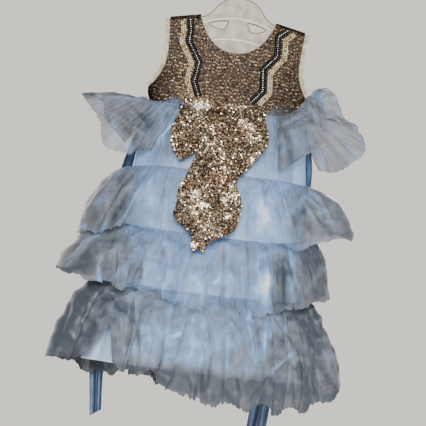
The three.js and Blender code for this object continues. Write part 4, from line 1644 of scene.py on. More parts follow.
@dataclass
class Underskirt:
    """Satin skirt from the waist seam, which carries the tiers."""

    hem_z: float = -736.0
    stitch_up: float = 14.0  # height of the stitching over the hem
    cloth: float = 0.8
    cut: tuple[float, float] = (0.76, 0.48)
    form: Table = Table(
        ("z", "half_width", "half_depth"),
        (
            (-262, 140, 20), (-300, 146, 26), (-386, 158, 33),
            (-502, 172, 43), (-600, 184, 51), (-736, 208, 60),
        ),
    )
    # Soft troughs and ridges down the satin; at and to are angles in degrees.
    creases: Creases = Creases(
        (
            (196, 203, 0.62, 1.02, 9, 3.0), (214, 209, 0.70, 1.02, 7, -3.2), (228, 226, 0.55, 1.0, 11, 2.4),
            (252, 249, 0.6, 1.02, 12, -2.6), (281, 286, 0.5, 1.0, 10, 2.2), (312, 307, 0.65, 1.02, 9, -3.0),
            (338, 334, 0.6, 1.02, 8, 2.6), (20, 25, 0.5, 1.02, 10, -2.8), (52, 48, 0.6, 1.02, 9, 2.6),
            (84, 90, 0.5, 1.0, 12, -2.4), (121, 117, 0.55, 1.02, 10, 2.8), (152, 158, 0.6, 1.02, 9, -2.8),
        )
    )

    def point(self, angle: Array, z: Array, out: Array) -> Array:
        """A place on the skirt's ellipse at a height, moved out along its own normal.

        Args:
            angle: in degrees, from +X through +Y.
            z: height; above the waist the waist's ellipse holds.
            out: how far off the ellipse.

        Returns:
            Places in millimetres.
        """
        level = np.minimum(z, WAIST_Z)
        wide, deep = (self.form.read("z", name, level) for name in ("half_width", "half_depth"))
        turn = np.radians(angle)
        normal = unit(np.stack(np.broadcast_arrays(np.cos(turn) / wide, np.sin(turn) / deep), axis=-1))
        x = wide * np.cos(turn) + normal[..., 0] * out
        y = deep * np.sin(turn) + normal[..., 1] * out
        return np.stack(np.broadcast_arrays(x, y, z), axis=-1)

    def build(self) -> None:
        """Nine slow folds that deepen to the hem, the listed creases, and a stitched hem."""
        columns, rows = 300, 84
        share = (np.arange(columns) / columns)[None]
        fall = np.linspace(0, 1, rows)[:, None]
        z = WAIST_Z - 0.3 + (self.hem_z - WAIST_Z + 0.3) * fall
        angle = Ring.angle_at(share)
        fold = -3 * fall**2 * (1 + np.cos(share * 2 * np.pi * 9 + 0.8 * np.sin(12 * share)))
        crease = self.creases.relief(angle, fall, 2.6)
        stitched = z - self.hem_z - self.stitch_up
        out = fold + crease * smoothstep(fall, 0.3, 0.7) - 0.7 * np.exp(-((stitched / 1.2) ** 2))
        points = self.point(angle, z + 0 * share, out)
        hem = np.exp(-((stitched / 1.6) ** 2)) + smoothstep(-z, 733, 736)
        low = smoothstep(-z, 640, 700)
        # Tone: paler towards the hem, painted light; lighter on the creases' ridges and darker in their
        # troughs, painted light and shade; paler along the stitching and at the hem's edge.
        marks = {"tone": 0.55 + 0.25 * low + 0.012 * crease + 0.25 * hem + 0 * share}
        away = points * SIDEWAYS
        piece = make_sheet("underskirt_satin", points, away, Satin(), "satin", True, self.cloth, marks)
        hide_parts("underskirt")


@dataclass
class Tier:
    """A gathered strip of organza, all round the skirt or part of the way."""

    name: str
    table: Table
    folds: int
    fold_depth: float
    hem_wave: float
    seed: float
    cut: tuple[float, float]
    creases: Creases
    span: tuple[float, float] | None = None  # angles of its two ends, or None for a ring
    columns: int = 720
    rows: int = 54
    cover: float = 0.5
    tone: float = 0.5
    gathers: int = 150
    crumple: float = 1.6
    frayed: float = 4.0  # unevenness of the torn hem, mm
    wander: float = 13.0  # slow rise and fall of the hem, mm
    overlap: float = 4.0  # how far the folds lie over each other, mm
    billow: float = 9.0  # height of the large uneven swells, mm
    side_cover: float = 0.27  # added where the sides stand clear of the satin
    drawn: Drawn = Drawn()
    # Places where the hem is caught up: angle, half width in degrees, share of the fall left.
    caught: Rows = ()
    # Places where the heading stands up above the seam: angle, half width in degrees, height in mm.
    heading: Rows = ()

    def stand(self, angle: Array, fall: Array) -> Array:
        """How far the heading rises above its seam: an uneven bell at each of its places.

        Args:
            angle: in degrees.
            fall: 0 at the seam and 1 at the hem.

        Returns:
            Height in millimetres.
        """
        total = np.zeros(np.broadcast(angle, fall).shape)
        ragged = 1 + 0.22 * np.sin(angle * 0.9) + 0.16 * np.sin(angle * 2.3 + 1)
        for place, half, height in self.heading:
            bell = np.exp(-(((angle - place) / half) ** 2) - ((fall - 0.13) / 0.09) ** 2)
            total = total + height * ragged * bell
        return total

    def surface(self, skirt: Underskirt, share: Array, fall: Array) -> Array:
        """The tier's form: out and over from its seam in a quarter turn, folds deepening to the hem.

        Args:
            skirt: what it is sewn to.
            share: places round the ring, as shares of its length.
            fall: 0 at the seam and 1 at the hem.

        Returns:
            Places in millimetres.
        """
        table = self.table if self.span else self.table.turned_round()
        angle = Ring.angle_at(share)
        root, reach, drop, puff = (table.read("angle", key, angle) for key in TIER_COLUMNS[1:])
        lean = fall * np.pi / 2
        turn = 2 * np.pi * share
        phase = self.folds * turn + 0.9 * np.sin(3 * turn + self.seed)
        phase = phase + 0.6 * np.sin(7 * turn + 2 * self.seed)
        phase = phase + 2.4 * fall * np.sin(4 * turn + 2 * self.seed)  # the folds lean to both sides
        size = 0.65 + 0.35 * np.sin(5 * turn + self.seed)
        swing = np.sin(np.minimum(lean, np.pi / 2))
        fold = self.fold_depth * size * swing * np.sin(phase)
        broad = smoothstep(np.abs(np.sin(np.radians(angle))), 0.15, 0.6)
        swell = np.sin(5 * turn + self.seed + 2 * fall) + 0.7 * np.sin(8 * turn + 3 * self.seed - 3 * fall)
        swell = swell + 0.5 * np.sin(13 * turn + 5 * self.seed + 4 * fall)
        out = 1.5 * SEAM_GAP + 1.2 + (reach - 2) * swing**puff + fold
        out = out + self.billow * swing * broad * swell / 1.5
        wave = self.hem_wave * (0.55 + 0.45 * np.sin(4 * turn + self.seed)) * np.cos(phase + 0.8)
        stand = self.stand(angle, fall)
        z = root - drop * (1 - np.cos(lean)) + np.sin(lean) ** 2 * wave + stand
        slide = self.overlap * size * swing * broad * np.sin(2 * phase + 1.2 * fall)
        return skirt.point(angle + slide * 360 / Ring.lengths[-1], z, out + 0.3 * stand)

    def build(self, skirt: Underskirt) -> None:
        """Adds gathers, crumple, the listed creases and the torn hem to the tier's form.

        Args:
            skirt: what it is sewn to.
        """
        if self.span:
            ends = [float(Ring.share_at(np.array(end))) for end in self.span]
            share = np.linspace(*ends, self.columns)[None]
        else:
            share = (np.arange(self.columns) / self.columns)[None]
        whole, angle = Ring.lengths[-1], Ring.angle_at(share)
        run, number = share * whole, int(self.seed * 10)
        torn = self.wander * uneven(run, whole, 75, number + 5)
        for step, (size, part) in enumerate(((21, 1.0), (6, 0.7), (1.6, 0.5))):
            torn = torn + self.frayed * part * uneven(run, whole, size, number + step)
        mean_drop = float(self.table.column("drop").mean())
        left = 1 + torn / mean_drop / 1.6
        for place, half, share_left in self.caught:
            beside = np.abs(angle - place) / half
            left = left * (1 - (1 - share_left) * np.exp(-(beside**1.4)))
        fall = (np.linspace(0, 1, self.rows) ** 0.85)[:, None] * left
        form = self.surface(skirt, share, fall)
        out = grid_normals(form, not self.span)
        out = out * np.sign((out * form * SIDEWAYS).sum())
        down = fall * mean_drop
        gather = self.gathers * 2 * np.pi * share
        fine = np.sin(gather + 1.8 * np.sin(9 * np.pi * share)) + 0.5 * np.sin(1.63 * gather + 2.0)
        gathers = 1.0 * fine * smoothstep(fall, 0.0, 0.06) * (1 - smoothstep(fall, 0.06, 0.38))
        late = smoothstep(fall, 0.05, 0.35)
        small = crumple(run, down, whole, 24, number + 4)
        wrinkle = self.crumple * late * (crumple(run, down, whole, 46, number + 3) * 3.4 + small * 1.8)
        creases = self.creases.relief(angle + 0 * fall, fall + 0 * share, whole / 360)
        creases = creases + self.drawn.relief(form)
        points = form + out * (gathers + wrinkle + creases)[..., None]
        ridge = late * smoothstep(small, 0.12, 0.5)
        marks = self.marks(points, form, fall, self.stand(angle, fall) / 20, creases, wrinkle, ridge)
        name, away = self.name + "_organza", points * SIDEWAYS
        piece = make_sheet(name, points, away, Organza(), "organza", not self.span, 0.0, marks)
        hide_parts(self.name)

    def marks(
        self,
        points: Array,
        form: Array,
        fall: Array,
        standing: Array,
        creases: Array,
        wrinkle: Array,
        ridge: Array,
    ) -> dict[str, Array]:
        """Tone and cover. The tone is darker where the cloth is clear of the satin and towards the hem, its
        grey over air deepened by painted shade; darker where it is turned away, and lighter on ridges and
        darker in troughs, painted light and shade; darker where the heading stands. The cover is denser
        where it is clear of the satin, turned away or in a fold.

        Args:
            points: the finished places.
            form: the places without gathers, crumple and creases.
            fall: 0 at the seam and 1 at the hem.
            standing: how far the heading stands, as a share.
            creases: their height, mm.
            wrinkle: the crumple's height, mm.
            ridge: 1 on the crumple's ridges.

        Returns:
            The two marks for each place.
        """
        low = smoothstep(-form[..., 2], 712, 745)
        bare = np.maximum(smoothstep(np.abs(form[..., 0]), 105, 190), low)
        turned = 1 - np.abs(grid_normals(points, not self.span)[..., 1])
        seam = 1 - smoothstep(fall, 0.0, 0.25)
        hem = smoothstep(fall, 0.6, 1.0) * (1 - bare)
        # Painted shade at the sides, towards the hem and where the cloth turns away; painted light and shade
        # on the ridges and troughs of creases and crumple, and in the drawn patches.
        tone = self.tone - 0.3 * bare - 0.2 * low * (1 - 0.5 * bare) - 0.05 * turned
        tone = tone + 0.045 * creases + 0.026 * wrinkle + 0.13 * ridge - 0.4 * standing
        cover = self.cover + self.side_cover * bare + 0.06 * low + 0.12 * turned + 0.1 * seam * bare
        cover = cover - 0.25 * (1 - smoothstep(fall, 0.0, 0.15)) * (1 - bare) - 0.3 * hem
        cover = cover - 0.32 * standing + 0.08 * ridge + 0.045 * np.abs(creases)
        return {"tone": tone + self.drawn.patch(form, 4), "cover": cover + self.drawn.patch(form, 5)}


TIER_COLUMNS = ("angle", "root", "reach", "drop", "puff")
BACK_CREASES = (
    (30, 38, 0.15, 0.9, 5, 2.4), (62, 57, 0.2, 1.0, 4, -2.6), (88, 96, 0.1, 0.8, 6, 2.2),
    (118, 112, 0.3, 1.0, 4, 2.6), (146, 151, 0.2, 0.9, 5, -2.4),
)
TIER_1 = Tier(
    "tier_1",
    Table(
        TIER_COLUMNS,
        (
            (0, -383, 84, 74, 0.95), (40, -380, 44, 112, 1), (90, -376, 28, 128, 1),
            (140, -380, 44, 118, 1), (180, -386, 74, 118, 0.95), (225, -376, 48, 124, 1),
            (270, -376, 40, 130, 1), (315, -377, 48, 113, 1),
        ),
    ),
    folds=15, fold_depth=5.5, hem_wave=5, seed=0.4, cut=(1.36, 0.145), tone=0.57,
    creases=Creases(
        BACK_CREASES
        + (
            (236, 233, 0.1, 1.0, 2.2, -2.4), (239, 236, 0.05, 0.95, 2.0, 2.6), (222, 214, 0.2, 0.9, 6, 2.6),
            (205, 198, 0.3, 1.0, 5, -2.6), (192, 186, 0.2, 0.9, 5, 2.4), (300, 303, 0.1, 1.0, 4, -3.0),
            (312, 318, 0.15, 0.9, 4, 2.8), (326, 331, 0.2, 1.0, 5, -2.4), (341, 348, 0.1, 0.95, 4, 2.6),
            (288, 291, 0.3, 1.0, 5, 2.0),
        )
    ),
    drawn=Drawn(
        lines=(
            (-95, -409, -94, -494, 2.2, -2.6), (-87, -417, -84, -486, 2, 2.2),
            (-178, -396, -211, -456, 6, 2.5), (-150, -407, -183, -474, 6, -3),
            (-228, -505, -201, -507, 2.4, 3), (-201, -507, -170, -493, 2.4, 2.4),
            (89, -385, 81, -408, 2.2, -2.2), (89, -385, 108, -411, 2.2, 2.4),
            (92, -384, 126, -406, 2.4, -2.4),
            (81, -408, 96, -478, 11, 6), (61, -426, 68, -498, 5, -4), (133, -418, 152, -471, 5, -4.5),
            (142, -434, 153, -478, 2.6, 3), (108, -421, 128, -454, 3, 3.5), (128, -454, 130, -485, 3, 3),
            (-124, -396, -121, -449, 5, 3), (-61, -423, -58, -490, 7, 3.5), (157, -398, 206, -425, 3, 2.5),
            (165, -414, 220, -467, 6, -3),
        ),
        patches=(
            (85, -442, 25, 43, 0.22, 0), (-109, -447, 39, 36, 0.12, 0), (-233, -500, 7, 7, 0.4, 0),
            (145, -447, 14, 32, -0.16, 0.05), (-156, -462, 25, 21, -0.06, 0), (-21, -500, 72, 18, 0.15, 0),
        ),
    ),
)
TIER_2 = Tier(
    "tier_2",
    Table(
        TIER_COLUMNS,
        (
            (0, -474, 50, 104, 0.85), (40, -488, 38, 108, 1), (90, -490, 27, 116, 1.1),
            (140, -488, 38, 108, 1), (180, -486, 96, 100, 1.15), (225, -488, 52, 112, 1.2),
            (270, -490, 40, 128, 1.2), (315, -488, 44, 112, 1.1),
        ),
    ),
    folds=16, fold_depth=5.5, hem_wave=6, seed=2.1, cut=(1.42, 0.14), cover=0.62, side_cover=0.23, tone=0.52,
    creases=Creases(
        BACK_CREASES
        + (
            (214, 226, 0.1, 1.0, 3.2, 3.0), (218, 230, 0.15, 1.0, 3.0, -2.6), (196, 190, 0.3, 1.0, 5, 2.8),
            (243, 248, 0.2, 0.95, 6, 2.4), (262, 258, 0.3, 0.9, 6, -2.0), (272, 266, 0.4, 0.7, 3, 3.4),
            (291, 294, 0.05, 1.0, 3.4, -3.6), (297, 300, 0.05, 1.0, 3.2, 3.0),
            (303, 309, 0.05, 0.95, 2.6, -3.2), (322, 318, 0.2, 1.0, 5, 2.6), (340, 345, 0.3, 1.0, 4, -2.8),
        )
    ),
    drawn=Drawn(
        lines=(
            (-167, -530, -158, -604, 2, -2.6), (-161, -535, -155, -600, 2, 2.2),
            (-151, -505, -146, -555, 6, -3.5), (-121, -552, -124, -589, 4, -3.5),
            (-139, -529, -72, -551, 2.2, -2.6), (-194, -561, -186, -600, 5, 4.5),
            (7, -578, 23, -560, 2.6, 3.5), (124, -509, 138, -611, 8, -7), (115, -510, 127, -612, 2, -3.5),
            (133, -510, 169, -594, 2.4, -3.5), (140, -509, 178, -584, 3, 3), (101, -517, 113, -610, 11, 6),
            (50, -531, 62, -598, 2, -2.4), (57, -530, 67, -594, 2, 2.4), (-240, -559, -214, -523, 5, 3),
            (-247, -578, -216, -564, 3, -3), (-34, -541, 1, -606, 7, 4), (-87, -548, -57, -613, 6, -3),
            (176, -508, 199, -574, 4, -3),
        ),
        patches=(
            (-190, -579, 7, 19, 0.25, 0), (17, -570, 13, 6, 0.22, 0.1), (130, -561, 12, 50, -0.25, 0.1),
            (100, -567, 18, 43, 0.2, 0), (-75, -570, 50, 28, 0.12, 0), (206, -546, 9, 18, 0, -0.7),
            (-27, -591, 54, 25, 0.12, 0), (-209, -563, 10, 25, -0.2, 0.1),
        ),
    ),
)
TIER_3 = Tier(
    "tier_3",
    Table(
        TIER_COLUMNS,
        (
            (0, -576, 58, 152, 1.6), (40, -592, 38, 172, 1.3), (90, -594, 27, 178, 1.2),
            (140, -592, 38, 168, 1.2), (180, -588, 62, 140, 0.8), (212, -590, 54, 146, 1),
            (236, -592, 44, 166, 1.2), (250, -594, 40, 156, 1.3),
            (276, -594, 40, 184, 1.3), (310, -592, 44, 186, 1.3), (340, -590, 52, 170, 1.5),
        ),
    ),
    folds=16, fold_depth=6, hem_wave=7, seed=4.4, cut=(1.46, 0.20), rows=72, cover=0.7, side_cover=0.19,
    tone=0.4, frayed=5.5, caught=((220.5, 7, 0.67), (350, 8, 1.05)),
    creases=Creases(
        BACK_CREASES
        + (
            (205, 200, 0.1, 1.0, 4, -3.2), (224, 235, 0.05, 0.6, 3, 3.2), (227, 236, 0.1, 1.0, 2.6, -3.0),
            (236, 237, 0.5, 1.0, 2.4, -3.0), (251, 254, 0.1, 0.9, 6, 2.2), (264, 262, 0.3, 1.0, 5, -2.4),
            (290, 298, 0.1, 0.7, 3, 3.4), (294, 304, 0.1, 0.8, 3, -3.0), (306, 305, 0.3, 1.0, 4, -3.4),
            (318, 322, 0.1, 1.0, 5, 3.0), (332, 338, 0.1, 1.0, 4, -3.0), (346, 353, 0.1, 1.0, 4, 2.8),
        )
    ),
    drawn=Drawn(
        lines=(
            (-174, -613, -154, -625, 2.4, -3), (-154, -625, -115, -660, 2.4, -3.5),
            (-115, -660, -98, -741, 2.4, -3.5), (-122, -666, -108, -737, 3, 2.6),
            (-237, -626, -250, -700, 5, -3), (-208, -632, -217, -673, 3, -3.5),
            (82, -627, 86, -614, 2.6, 4), (113, -628, 118, -682, 3.5, 4.5),
            (124, -613, 176, -671, 2.2, -3.5), (176, -671, 186, -732, 2.4, -3.5),
            (124, -631, 132, -681, 2.2, -3), (177, -679, 134, -726, 2.6, -4),
            (134, -726, 103, -769, 2.6, -4.5), (170, -676, 126, -721, 5, 4),
            (206, -662, 225, -760, 2.2, -3.5), (169, -703, 176, -769, 2.6, -4), (181, -620, 207, -744, 4, 3),
            (-92, -657, -80, -728, 5, 3), (-65, -668, -68, -734, 5, -3), (-10, -662, -13, -738, 7, 4),
            (22, -667, 21, -749, 6, -4), (53, -654, 54, -754, 6, 3.5), (220, -661, 254, -727, 5, 3),
        ),
        patches=(
            (-242, -676, 25, 46, -0.12, 0.1), (83, -621, 6, 10, 0.25, 0.1), (-9, -671, 61, 39, 0.18, 0),
            (-69, -696, 28, 25, 0.08, 0), (-140, -705, 32, 36, -0.12, 0.1), (116, -655, 9, 28, 0.25, 0),
            (158, -710, 25, 25, 0.06, 0.1), (-218, -725, 10, 10, 0, -0.6),
        ),
    ),
)
# The two stretches of the waist flounce that hang.
HANGING = {"hem_wave": 3, "fold_depth": 4.2, "frayed": 2.5, "overlap": 3.0, "wander": 5.0}
FLOUNCE_FRONT = Tier(
    "flounce_front",
    Table(
        TIER_COLUMNS,
        (
            (214, -264, 15, 106, 1.2), (240, -264, 24, 116, 1.5), (270, -264, 29, 122, 1.6),
            (300, -264, 24, 116, 1.5), (326, -264, 15, 106, 1.2),
        ),
    ),
    folds=21, seed=1.2, cut=(0.38, 0.125), span=(214, 326), columns=300, rows=48,
    cover=0.52, tone=0.47, crumple=0.9, billow=2.5, heading=((227, 10, 17), (315, 13, 27)),
    creases=Creases(
        (
            (226, 221, 0.1, 0.9, 4, 2.0), (233, 229, 0.3, 1.0, 4, -2.0), (244, 240, 0.2, 0.9, 5, 2.0),
            (297, 300, 0.1, 0.9, 4, -2.2), (304, 309, 0.1, 1.0, 4, 2.2), (313, 318, 0.2, 0.9, 4, -2.0),
        )
    ),
    drawn=Drawn(
        lines=(
            (-79, -271, -139, -375, 3, 2.5), (-68, -293, -106, -380, 2.5, -2.5),
            (-90, -285, -125, -350, 6, 3), (-74, -268, -116, -318, 2.5, -2.4),
            (79, -324, 50, -382, 2.5, -2.5), (125, -313, 85, -372, 3, 2.5),
            (105, -339, 50, -385, 4, 3), (120, -280, 88, -330, 4, -2.4),
        ),
        patches=(
            (-112, -345, 22, 16, -0.12, 0.1), (-95, -300, 20, 14, 0.06, 0),
            (110, -300, 24, 30, -0.14, 0.08),
        ),
    ),
    **HANGING,
)
FLOUNCE_BACK = Tier(
    "flounce_back",
    Table(TIER_COLUMNS, ((34, -264, 11, 104, 1), (90, -264, 11, 112, 1), (146, -264, 11, 104, 1))),
    folds=24, seed=3.2, cut=(0.38, 0.115), span=(34, 146), columns=280, rows=44,
    cover=0.5, tone=0.55, crumple=0.6, billow=1.5, creases=Creases(BACK_CREASES), **HANGING,
)


@dataclass
class Wing:
    """The waist flounce where it stands up and out over the skirt."""

    name: str
    table: Table
    cut: tuple[float, float]
    cut_area: float  # of the cut, which is curved so that its hem is longer than its seam
    seed: int
    creases: Creases
    drawn: Drawn
    folds: int = 6
    fold_depth: float = 3.0
    columns: int = 300
    rows: int = 110
    cover: float = 0.74
    tone: float = 0.26
    hem_run: float = 560.0
    fall: float = 130.0  # from the seam to the hem, mm
    frayed: float = 3.0
    root_out: float = 3.4

    def build(self, skirt: Underskirt) -> None:
        """Each line leaves the waist, rises and leans out, and then runs to its place on the hem.

        A line is the quadratic curve root (1-t)^2 + turned 2t(1-t) + hem t^2.

        Args:
            skirt: what it is sewn to.
        """
        spans = len(self.table.rows) - 1
        rows = tuple((number, *row) for number, row in enumerate(self.table.rows))
        numbered = Table(("n", *self.table.columns), rows)
        at = np.linspace(0, spans, self.columns)[None]
        read = {name: numbered.read("n", name, at) for name in self.table.columns}
        run = at / spans * self.hem_run
        torn = sum(
            self.frayed * part * uneven(run, self.hem_run, size, self.seed + number)
            for number, (size, part) in enumerate(((47, 2.2), (17, 0.7), (5, 0.4), (1.8, 0.3)))
        )
        t = np.linspace(0, 1, self.rows)[:, None] * (1 + torn / self.fall / 2)
        level = np.full(at.shape, WAIST_Z - 3.2)
        root = skirt.point(read["angle"], level, self.root_out)
        turned = skirt.point(read["angle"], level, read["out"])
        turned[..., 2] += read["lift"]
        hem = np.stack([read["hem_x"], read["hem_y"], read["hem_z"]], axis=-1)
        t3 = t[..., None]
        form = root * (1 - t3) ** 2 + turned * 2 * t3 * (1 - t3) + hem * t3**2
        phase = self.folds * 2 * np.pi * at / spans + 1.3 * np.sin(5 * at + self.seed)
        fold = self.fold_depth * smoothstep(t, 0.1, 1.0) * np.sin(phase) * (0.7 + 0.3 * np.sin(2.2 * at))
        fine = 0.6 * np.sin(12 * phase + 1.4 * np.sin(3 * at))
        fine = fine * smoothstep(t, 0, 0.06) * (1 - smoothstep(t, 0.08, 0.35))
        large, small = (
            crumple(run, t * self.fall, 10 * self.hem_run, size, self.seed + number)
            for size, number in ((48, 3), (20, 4))
        )
        wrinkle = smoothstep(t, 0.1, 0.5) * (large * 4.0 + small * 1.4)
        creases = self.creases.relief(at + 0 * t, t + 0 * at, self.hem_run / spans) + self.drawn.relief(form)
        points = form + grid_normals(form, False) * (fold + fine + wrinkle + creases)[..., None]
        away = 1 - np.abs(grid_normals(points, False)[..., 1])
        # Tone: lighter and darker with the height of creases and crumple, and darker where turned away from
        # the front, painted light and shade; the drawn patches add painted light and shade.
        marks = {
            "tone": self.tone + 0.03 * creases + 0.015 * wrinkle - 0.03 * away + self.drawn.patch(form, 4),
            "cover": self.cover + 0.03 * np.abs(creases) + 0.1 * away + self.drawn.patch(form, 5),
        }
        piece = make_sheet(self.name + "_organza", points, FRONT, Organza(), "organza", False, 0.0, marks)
        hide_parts(self.name)


WING_COLUMNS = ("angle", "hem_x", "hem_y", "hem_z", "lift", "out")
WINGS = (
    Wing(
        "wing_left",
        Table(
            WING_COLUMNS,
            (
                (232, -124, -48, -342, 4, 22), (222, -160, -66, -362, 12, 34),
                (211, -203, -44, -360, 16, 40), (200, -222, -62, -318, 18, 46),
                (190, -240, -30, -288, 20, 48), (181, -263, -22, -262, 20, 50),
                (171, -228, 10, -274, 16, 44), (160, -212, 34, -306, 10, 38),
                (148, -176, 44, -338, 6, 28),
            ),
        ),
        (0.48, 0.14),
        0.040,
        51,
        Creases(
            (
                (0.1, 0.1, 0.0, 1.1, 2.0, 1.5), (1.2, 1.5, 0.2, 1.0, 4, 2.6), (1.9, 2.1, 0.2, 1.0, 3, -2.6),
                (2.3, 2.5, 0.3, 1.0, 3, 2.4), (2.7, 2.9, 0.3, 1.0, 3, -2.2), (3.6, 3.4, 0.1, 0.9, 6, 3.0),
                (4.6, 4.9, 0.2, 1.0, 5, -3.0), (6.4, 6.2, 0.2, 1.0, 5, 2.6),
            )
        ),
        Drawn(
            lines=(
                (-240, -267, -146, -261, 2.2, 3), (-131, -341, -74, -260, 1.8, 3.5),
                (-204, -305, -156, -353, 2, 2.4), (-195, -302, -146, -348, 2, -2.4),
                (-214, -317, -172, -359, 2, -2.2), (-229, -281, -132, -329, 5, 3.5),
                (-231, -293, -140, -339, 4, -3), (-176, -269, -125, -317, 4, -3.5),
                (-190, -274, -130, -314, 4, 3),
            ),
            patches=(
                (-251, -265, 14, 9, -0.3, 0.25), (-185, -339, 25, 25, 0.12, -0.22),
                (-154, -299, 32, 21, -0.12, 0.1), (-173, -368, 9, 5, 0, -0.6),
                (-148, -365, 16, 16, -0.3, 0.3), (-92, -273, 21, 21, 0, 0.1),
            ),
        ),
    ),
    Wing(
        "wing_right",
        Table(
            WING_COLUMNS,
            (
                (308, 104, -54, -362, 6, 26), (315, 142, -76, -330, 20, 36), (322, 178, -62, -292, 36, 42),
                (329, 168, -66, -240, 54, 40), (336, 164, -44, -207, 60, 38), (344, 189, -24, -213, 52, 40),
                (352, 209, -16, -252, 36, 44), (360, 238, -4, -272, 24, 48), (368, 255, 8, -294, 16, 48),
                (377, 240, 2, -322, 12, 44), (385, 208, 30, -346, 8, 36), (392, 176, 42, -350, 6, 28),
            ),
        ),
        (0.52, 0.14),
        0.041,
        61,
        Creases(
            (
                (1.0, 1.3, 0.2, 1.0, 4, 2.6), (2.2, 2.0, 0.2, 0.9, 5, -2.6), (3.4, 3.8, 0.3, 1.0, 5, 2.8),
                (5.2, 5.0, 0.2, 1.0, 5, -3.0), (6.6, 6.9, 0.2, 1.0, 4, 3.4), (7.4, 7.7, 0.3, 1.0, 4, -2.6),
                (8.6, 8.9, 0.3, 1.0, 5, 2.6),
            )
        ),
        Drawn(
            lines=(
                (73, -229, 126, -213, 3, 3), (126, -213, 163, -223, 3, 3), (163, -223, 178, -254, 3, 3),
                (158, -275, 218, -300, 2.2, 3), (218, -300, 165, -310, 2, 3.5),
                (180, -272, 256, -284, 2.4, -3), (89, -287, 151, -247, 5, 4),
                (96, -300, 161, -264, 5, -4), (77, -261, 128, -235, 4, -3.5),
                (206, -349, 165, -361, 2.4, -3), (124, -346, 139, -379, 3, 3), (156, -315, 205, -345, 3, -3),
            ),
            patches=(
                (171, -289, 12, 14, 0, -0.65), (235, -291, 21, 14, 0.0, -0.15),
                (130, -246, 43, 25, -0.06, 0.12), (181, -339, 28, 18, 0.05, -0.15),
                (141, -357, 14, 28, -0.3, 0.3), (250, -285, 7, 9, -0.25, 0.2),
            ),
        ),
    ),
)


